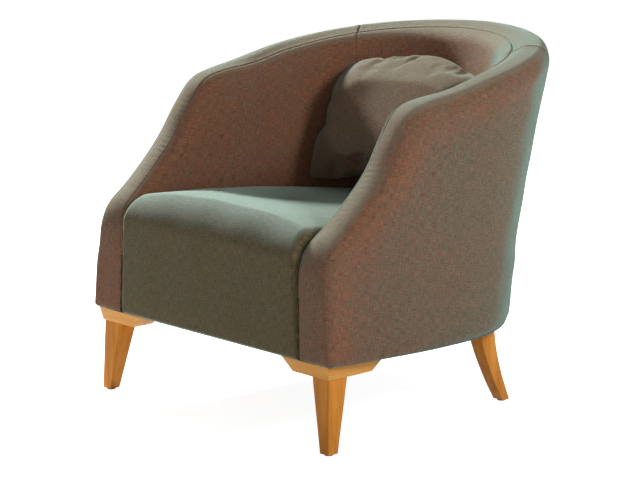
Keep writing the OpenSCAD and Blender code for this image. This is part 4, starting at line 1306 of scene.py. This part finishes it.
# %% Turned-under strip
def strip_under(name, outline_out, outline_in):
    """A thin flat strip between two lines, just under the frame"""
    n = len(outline_out)
    rings = [line + (0, 0, up) for line, up in (
        (outline_out, 0.00002), (outline_in, 0.00002), (outline_in, 0.0003),
        (outline_out, 0.0003))]
    points = np.vstack(rings)
    faces = [(a * n + i, b * n + i, b * n + i + 1, a * n + i + 1)
             for i in range(n - 1) for a, b in ((0, 1), (1, 2), (2, 3), (3, 0))]
    faces += [(3 * n, 2 * n, n, 0), (n - 1, 2 * n - 1, 3 * n - 1, 4 * n - 1)]
    piece = mesh_piece(name, points, faces, points[:, :2], smooth_shaded=False)
    work = bmesh.new()
    work.from_mesh(piece.data)
    bmesh.ops.recalc_face_normals(work, faces=work.faces)
    put_back(work, piece)
    return piece


turned_s = np.linspace(0.004, 2 * PATH_LEN - 0.004, 161)
outer_line = on_wall(turned_s, BASE_Z, 0.0005)
outer_line[:, 2] -= hem_drop(turned_s) - 0.0004
inner_line = on_wall(turned_s, BASE_Z, 0.030)
turned_wall = strip_under("turned_cloth_wall", outer_line, inner_line)
front_x = np.linspace(-0.330, 0.330, 41)
turned_front = strip_under("turned_cloth_front", *(
    np.column_stack([front_x, 0 * front_x + FRONT_Y + inward, 0 * front_x + BASE_Z])
    for inward in (0.0035, 0.045)))
print("turned cloth:", turned_wall.name, turned_front.name)

# %% Dust cloth
DUST_Z = float(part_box("dust_cover")[0][2])


def build_dust_cloth():
    """The frame's dust cover as a fine sheet that sags a little between its fixings"""
    work = bmesh.new()
    work.from_mesh(nodes["dust_cover"].data)
    bmesh.ops.remove_doubles(work, verts=work.verts, dist=0.00002)
    bmesh.ops.triangulate(work, faces=work.faces)
    length = 0.74
    for axis, count, start in ((0, 22, -0.37), (1, 24, -0.42)):
        for i in range(1, count):
            place, normal = [0.0, 0.0, 0.0], [0.0, 0.0, 0.0]
            place[axis], normal[axis] = start + length * i / count, 1.0
            cut_plane(work, place, normal)
    for vert in work.verts:
        x, y = vert.co.x, vert.co.y
        inside = max(0.0, 1 - (x / 0.34) ** 2) * max(0.0, 1 - ((y + 0.06) / 0.34) ** 2)
        ripple = float(waves(np.array(x / 0.22), np.array(y / 0.2), 5))
        vert.co.z -= 0.004 * inside + 0.0006 * ripple * min(1.0, 3 * inside)
    piece = object_from(work, "dust_cloth")
    shade_smooth(piece, 30)
    return piece


dust_cloth = build_dust_cloth()
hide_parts("dust_cover")

# %% [markdown]
# ### Staples by Geometry Nodes
# A line of points is resampled at the staple's spacing, a small staple is set on each point and
# turned along the line, the copies are made real and get their metal. The line follows the dust
# cloth's edge, a little inside it.

# %% Tree: copies along a line
def named_inputs(tree, wanted):
    """Adds inputs to a Geometry Nodes tree and returns their identifiers by name"""
    found = {}
    for label, kind, default in wanted:
        socket = tree.interface.new_socket(label, in_out="INPUT", socket_type=kind)
        if default is not None:
            socket.default_value = default
        found[label] = socket.identifier
    return found


def end_with(tree, placed, metal):
    """Makes the copies real, gives them their metal and puts them out"""
    real = wire(tree, "GeometryNodeRealizeInstances", {0: placed.outputs[0]})
    finished = wire(tree, "GeometryNodeSetMaterial", {0: real.outputs[0], "Material": metal})
    wire(tree, "NodeGroupOutput", {0: finished.outputs[0]})


def build_staple_line():
    """A tree that sets a small bar at each step along a line"""
    tree = bpy.data.node_groups.new("staples along a line", "GeometryNodeTree")
    ids = named_inputs(tree, [
        ("Line", "NodeSocketGeometry", None), ("Spacing", "NodeSocketFloat", 0.03),
        ("Crown", "NodeSocketFloat", 0.010), ("Wire", "NodeSocketFloat", 0.0007),
        ("Metal", "NodeSocketMaterial", None)])
    tree.interface.new_socket("Staples", in_out="OUTPUT", socket_type="NodeSocketGeometry")
    given = tree.nodes.new("NodeGroupInput").outputs
    curve = wire(tree, "GeometryNodeMeshToCurve", {0: given["Line"]})
    even = wire(tree, "GeometryNodeResampleCurve", {"Curve": curve.outputs[0],
                "Length": given["Spacing"]}, mode="LENGTH")
    size = wire(tree, "ShaderNodeCombineXYZ", {0: given["Crown"], 1: given["Wire"],
                2: given["Wire"]})
    bar = wire(tree, "GeometryNodeMeshCube", {"Size": size.outputs[0]})
    tangent = wire(tree, "GeometryNodeInputTangent")
    jitter = wire(tree, "FunctionNodeRandomValue", {2: -0.22, 3: 0.22, "Seed": 4},
                  data_type="FLOAT")
    facing = wire(tree, "FunctionNodeAlignRotationToVector", {"Vector": tangent.outputs[0]},
                  axis="X", pivot_axis="Z")
    turned = wire(tree, "FunctionNodeRotateRotation", {
        0: facing.outputs[0], 1: wire(tree, "ShaderNodeCombineXYZ", {2: jitter.outputs[1]}
                                      ).outputs[0]})
    placed = wire(tree, "GeometryNodeInstanceOnPoints", {
        "Points": even.outputs[0], "Instance": bar.outputs[0], "Rotation": turned.outputs[0]})
    end_with(tree, placed, given["Metal"])
    return tree, ids


staple_tree, staple_ids = build_staple_line()


def line_object(name, points, joined=True):
    """Points, joined by edges to a line or left loose"""
    edges = [(i, i + 1) for i in range(len(points) - 1)] if joined else []
    mesh = bpy.data.meshes.new(name)
    mesh.from_pydata([tuple(map(float, p)) for p in points], edges, [])
    return add_object(name, mesh)


def run_tree(piece, tree, ids, values):
    """Runs a Geometry Nodes tree on a piece and keeps the plain mesh"""
    modifier = piece.modifiers.new(tree.name, "NODES")
    modifier.node_group = tree
    for label, value in values.items():
        modifier[ids[label]] = value
    return settle(piece)


edge_s = np.linspace(0.20 * PATH_LEN, 2 * PATH_LEN - 0.20 * PATH_LEN, 240)
edge_line = on_wall(edge_s, BASE_Z, 0.0275)
edge_line[:, 2] = DUST_Z - 0.0002
staples = line_object("dust_staples", edge_line)
run_tree(staples, staple_tree, staple_ids, {
    "Spacing": 0.026, "Crown": 0.0095, "Wire": 0.0008, "Metal": FINISH["zinc_steel"]})
print("staples:", len(staples.data.polygons) // 6)

# %% [markdown]
# ### Screws by Geometry Nodes
# Each bracket is held by four countersunk screws with a cross recess. One head is turned from
# its outline, points mark the places, and a tree copies the head there.

# %% Screw heads
def screw_head():
    """A countersunk head with a cross recess, seen from below"""
    work = bmesh.new()
    outline = [(0.0049, 0.0), (0.0049, 0.0004), (0.0026, 0.0030)]
    rings = []
    for radius, height in outline:
        rings.append([work.verts.new((radius * math.cos(a), radius * math.sin(a), height))
                      for a in np.linspace(0, 2 * math.pi, 16, endpoint=False)])
    for low, high in zip(rings[:-1], rings[1:]):
        for i in range(16):
            j = (i + 1) % 16
            work.faces.new((low[i], low[j], high[j], high[i]))
    work.faces.new(rings[-1])
    cross, w, r = [], 0.0006, 0.0026
    for q in range(4):
        a = q * math.pi / 2
        for lx, ly in ((w, w), (r, w), (r, -w)):
            cross.append((lx * math.cos(a) - ly * math.sin(a), lx * math.sin(a) + ly * math.cos(a)))
    order = sorted(range(12), key=lambda i: math.atan2(cross[i][1], cross[i][0]))
    cross = [cross[i] for i in order]
    top = [work.verts.new((x, y, 0.0)) for x, y in cross]
    floor = [work.verts.new((x * 0.6, y * 0.6, 0.0016)) for x, y in cross]
    for i in range(12):
        j = (i + 1) % 12
        work.faces.new((top[j], top[i], floor[i], floor[j]))
    work.faces.new(floor[::-1])
    face = rings[0]

    def near(vert):
        """The corner of the cross that lies towards a point of the outline"""
        a = math.atan2(vert.co.y, vert.co.x)
        return min(top, key=lambda v: (v.co.x - 0.003 * math.cos(a)) ** 2
                   + (v.co.y - 0.003 * math.sin(a)) ** 2)

    for i in range(16):
        this, following = face[i], face[(i + 1) % 16]
        loop = [following, this, near(this)]
        work.faces.new(loop + ([near(following)] if near(following) != near(this) else []))
    bmesh.ops.holes_fill(work, edges=[e for e in work.edges if e.is_boundary], sides=6)
    bmesh.ops.recalc_face_normals(work, faces=work.faces)
    return object_from(work, "screw_head")


def build_copies():
    """A tree that copies a piece onto loose points"""
    tree = bpy.data.node_groups.new("copies on points", "GeometryNodeTree")
    ids = named_inputs(tree, [
        ("Points", "NodeSocketGeometry", None), ("Piece", "NodeSocketObject", None),
        ("Size", "NodeSocketFloat", 1.0), ("Metal", "NodeSocketMaterial", None)])
    tree.interface.new_socket("Copies", in_out="OUTPUT", socket_type="NodeSocketGeometry")
    given = tree.nodes.new("NodeGroupInput").outputs
    source = wire(tree, "GeometryNodeObjectInfo", {"Object": given["Piece"]})
    turn = wire(tree, "FunctionNodeRandomValue", {2: 0.0, 3: 1.57, "Seed": 9},
                data_type="FLOAT")
    angle = wire(tree, "ShaderNodeCombineXYZ", {2: turn.outputs[1]})
    placed = wire(tree, "GeometryNodeInstanceOnPoints", {
        "Points": given["Points"], "Instance": source.outputs["Geometry"],
        "Rotation": angle.outputs[0], "Scale": given["Size"]})
    end_with(tree, placed, given["Metal"])
    return tree, ids


copies_tree, copies_ids = build_copies()
BRACKET_LOW = float(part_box("front_bracket_right")[0][2])


def screw_places():
    """The middle of each screw's foot, read from the frame's own screws"""
    points = places_of(nodes["bracket_screws"])
    low = points[points[:, 2] < BRACKET_LOW + 0.0002]
    groups = []
    for point in low:
        for group in groups:
            if np.hypot(*(group[0][:2] - point[:2])) < 0.012:
                group.append(point)
                break
        else:
            groups.append([point])
    return [((np.min(g, 0) + np.max(g, 0)) / 2) for g in groups]


head = screw_head()
screws = line_object("screw_heads", [(p[0], p[1], BRACKET_LOW - 0.0001) for p in screw_places()],
                     joined=False)
run_tree(screws, copies_tree, copies_ids, {
    "Piece": head, "Size": 1.0, "Metal": FINISH["zinc_steel"]})
bpy.data.objects.remove(head)
print("screw heads:", len(screw_places()), "faces:", len(screws.data.polygons))

# %% [markdown]
# ## The cushion's closing stitches
# The cushion's bottom edge is sewn shut by hand after it is stuffed. The stitches are short
# threads across the seam, again copies on points.

# %% Thread stitches
def seam_line(piece, rim):
    """The cushion's bottom seam after stuffing, from left to right"""
    points = places_of(piece)[:len(rim)][rim]
    low = points[points[:, 2] < np.percentile(points[:, 2], 26)]
    low = low[np.abs(low[:, 0]) < 0.14]
    return low[np.argsort(low[:, 0])]


thread_material = speckled("thread", (0.20, 0.13, 0.09, 1), (0.28, 0.2, 0.15, 1), 3000, 0.8)
stitches = line_object("closing_stitches", seam_line(cushion, bag_rim) + (0, -0.0004, 0.0002))
run_tree(stitches, staple_tree, staple_ids, {
    "Spacing": 0.008, "Crown": 0.0036, "Wire": 0.0006, "Metal": thread_material})
print("stitches:", len(stitches.data.polygons) // 6)

# %% [markdown]
# ## Riding on the frame's bodies
# Everything rides on the chair but the cushion and its stitches, which lift out together. Each
# new piece is dressed in its finish.

# %% Ride and finish the pieces
on_chair = outside + linings + [seat, dust_cloth, turned_wall, turned_front, staples, screws]
on_chair += woodwork + padding
for piece in on_chair:
    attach(piece, "chair")
for piece in (cushion, stitches, stuffing):
    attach(piece, "cushion")
for pieces, cloth in ((outside + linings + [turned_wall], wall_cloth),
                      ([seat, turned_front], seat_cloth), ([cushion], cushion_cloth)):
    for piece in pieces:
        dress(piece, cloth)
for piece in woodwork:
    dress(piece, painted_light_bracket_oak if "bracket" in piece.name else oak)
dress(dust_cloth, FINISH["dust_cloth"])
print("pieces on the chair:", len(on_chair))

# %% [markdown]
# ## Light and floor
# The chair stands in a white studio: a soft light on its right side, a small strong one on the
# left that passes over the arm and draws its shadow across the seat and the cushion, and two
# faint ones in front and behind. The floor and the sky are white only to the camera and to
# mirrors, so they hardly light the chair.

# %% Studio
def soft_light(name, place, aim, size, power):
    """A round lamp at a place, turned to what it lights"""
    data = bpy.data.lights.new(name, "AREA")
    data.shape, data.size, data.energy = "DISK", size, power
    lamp = add_object(name, data)
    lamp.location = place
    lamp.rotation_euler = (Vector(aim) - Vector(place)).to_track_quat("-Z", "Y").to_euler()
    return lamp


def shown_plainly(tree):
    """One where the camera or a mirror looks, and zero where light bounces"""
    path = wire(tree, "ShaderNodeLightPath").outputs
    seen = sum_of(tree, "MAXIMUM", path["Is Camera Ray"], path["Is Glossy Ray"])
    return sum_of(tree, "MAXIMUM", seen, path["Is Transmission Ray"])


soft_light("key", (2.6, 0.25, 1.95), (0, 0, 0.4), 0.8, 45)
soft_light("left", (-3.35, 0.42, 2.42), (0, 0, 0.45), 0.5, 370)
soft_light("front", (1.9, -1.6, 0.7), (0.3, 0, 0.2), 0.8, 3.7)
soft_light("behind", (1.2, 3.2, 1.5), (0, 0, 0.45), 0.8, 10)

world = bpy.data.worlds.new("studio")
bpy.context.scene.world = world
world.use_nodes = True
sky = world.node_tree
sky.nodes.clear()
level = spread(sky, shown_plainly(sky), 0.0, 1.0, 0.16, 1.2)
glow = wire(sky, "ShaderNodeBackground", {0: (1, 1, 1, 1), 1: level})
wire(sky, "ShaderNodeOutputWorld", {0: glow.outputs[0]})

# %% Floor
floor = mesh_piece("floor", [(-30, -30, 0), (30, -30, 0), (30, 30, 0), (-30, 30, 0)],
                   [(0, 1, 2, 3)], smooth_shaded=False)
floor_material, tree, shader = blank_material("floor")
fill(tree, shader, {
    "Base Color": (0.8, 0.8, 0.8, 1), "Roughness": 1.0, "Specular IOR Level": 0.0,
    "Emission Color": (1, 1, 1, 1),
    "Emission Strength": spread(tree, shown_plainly(tree), 0.0, 1.0, 0.0, 0.89)})
dress(floor, floor_material)
print("floor is stage")
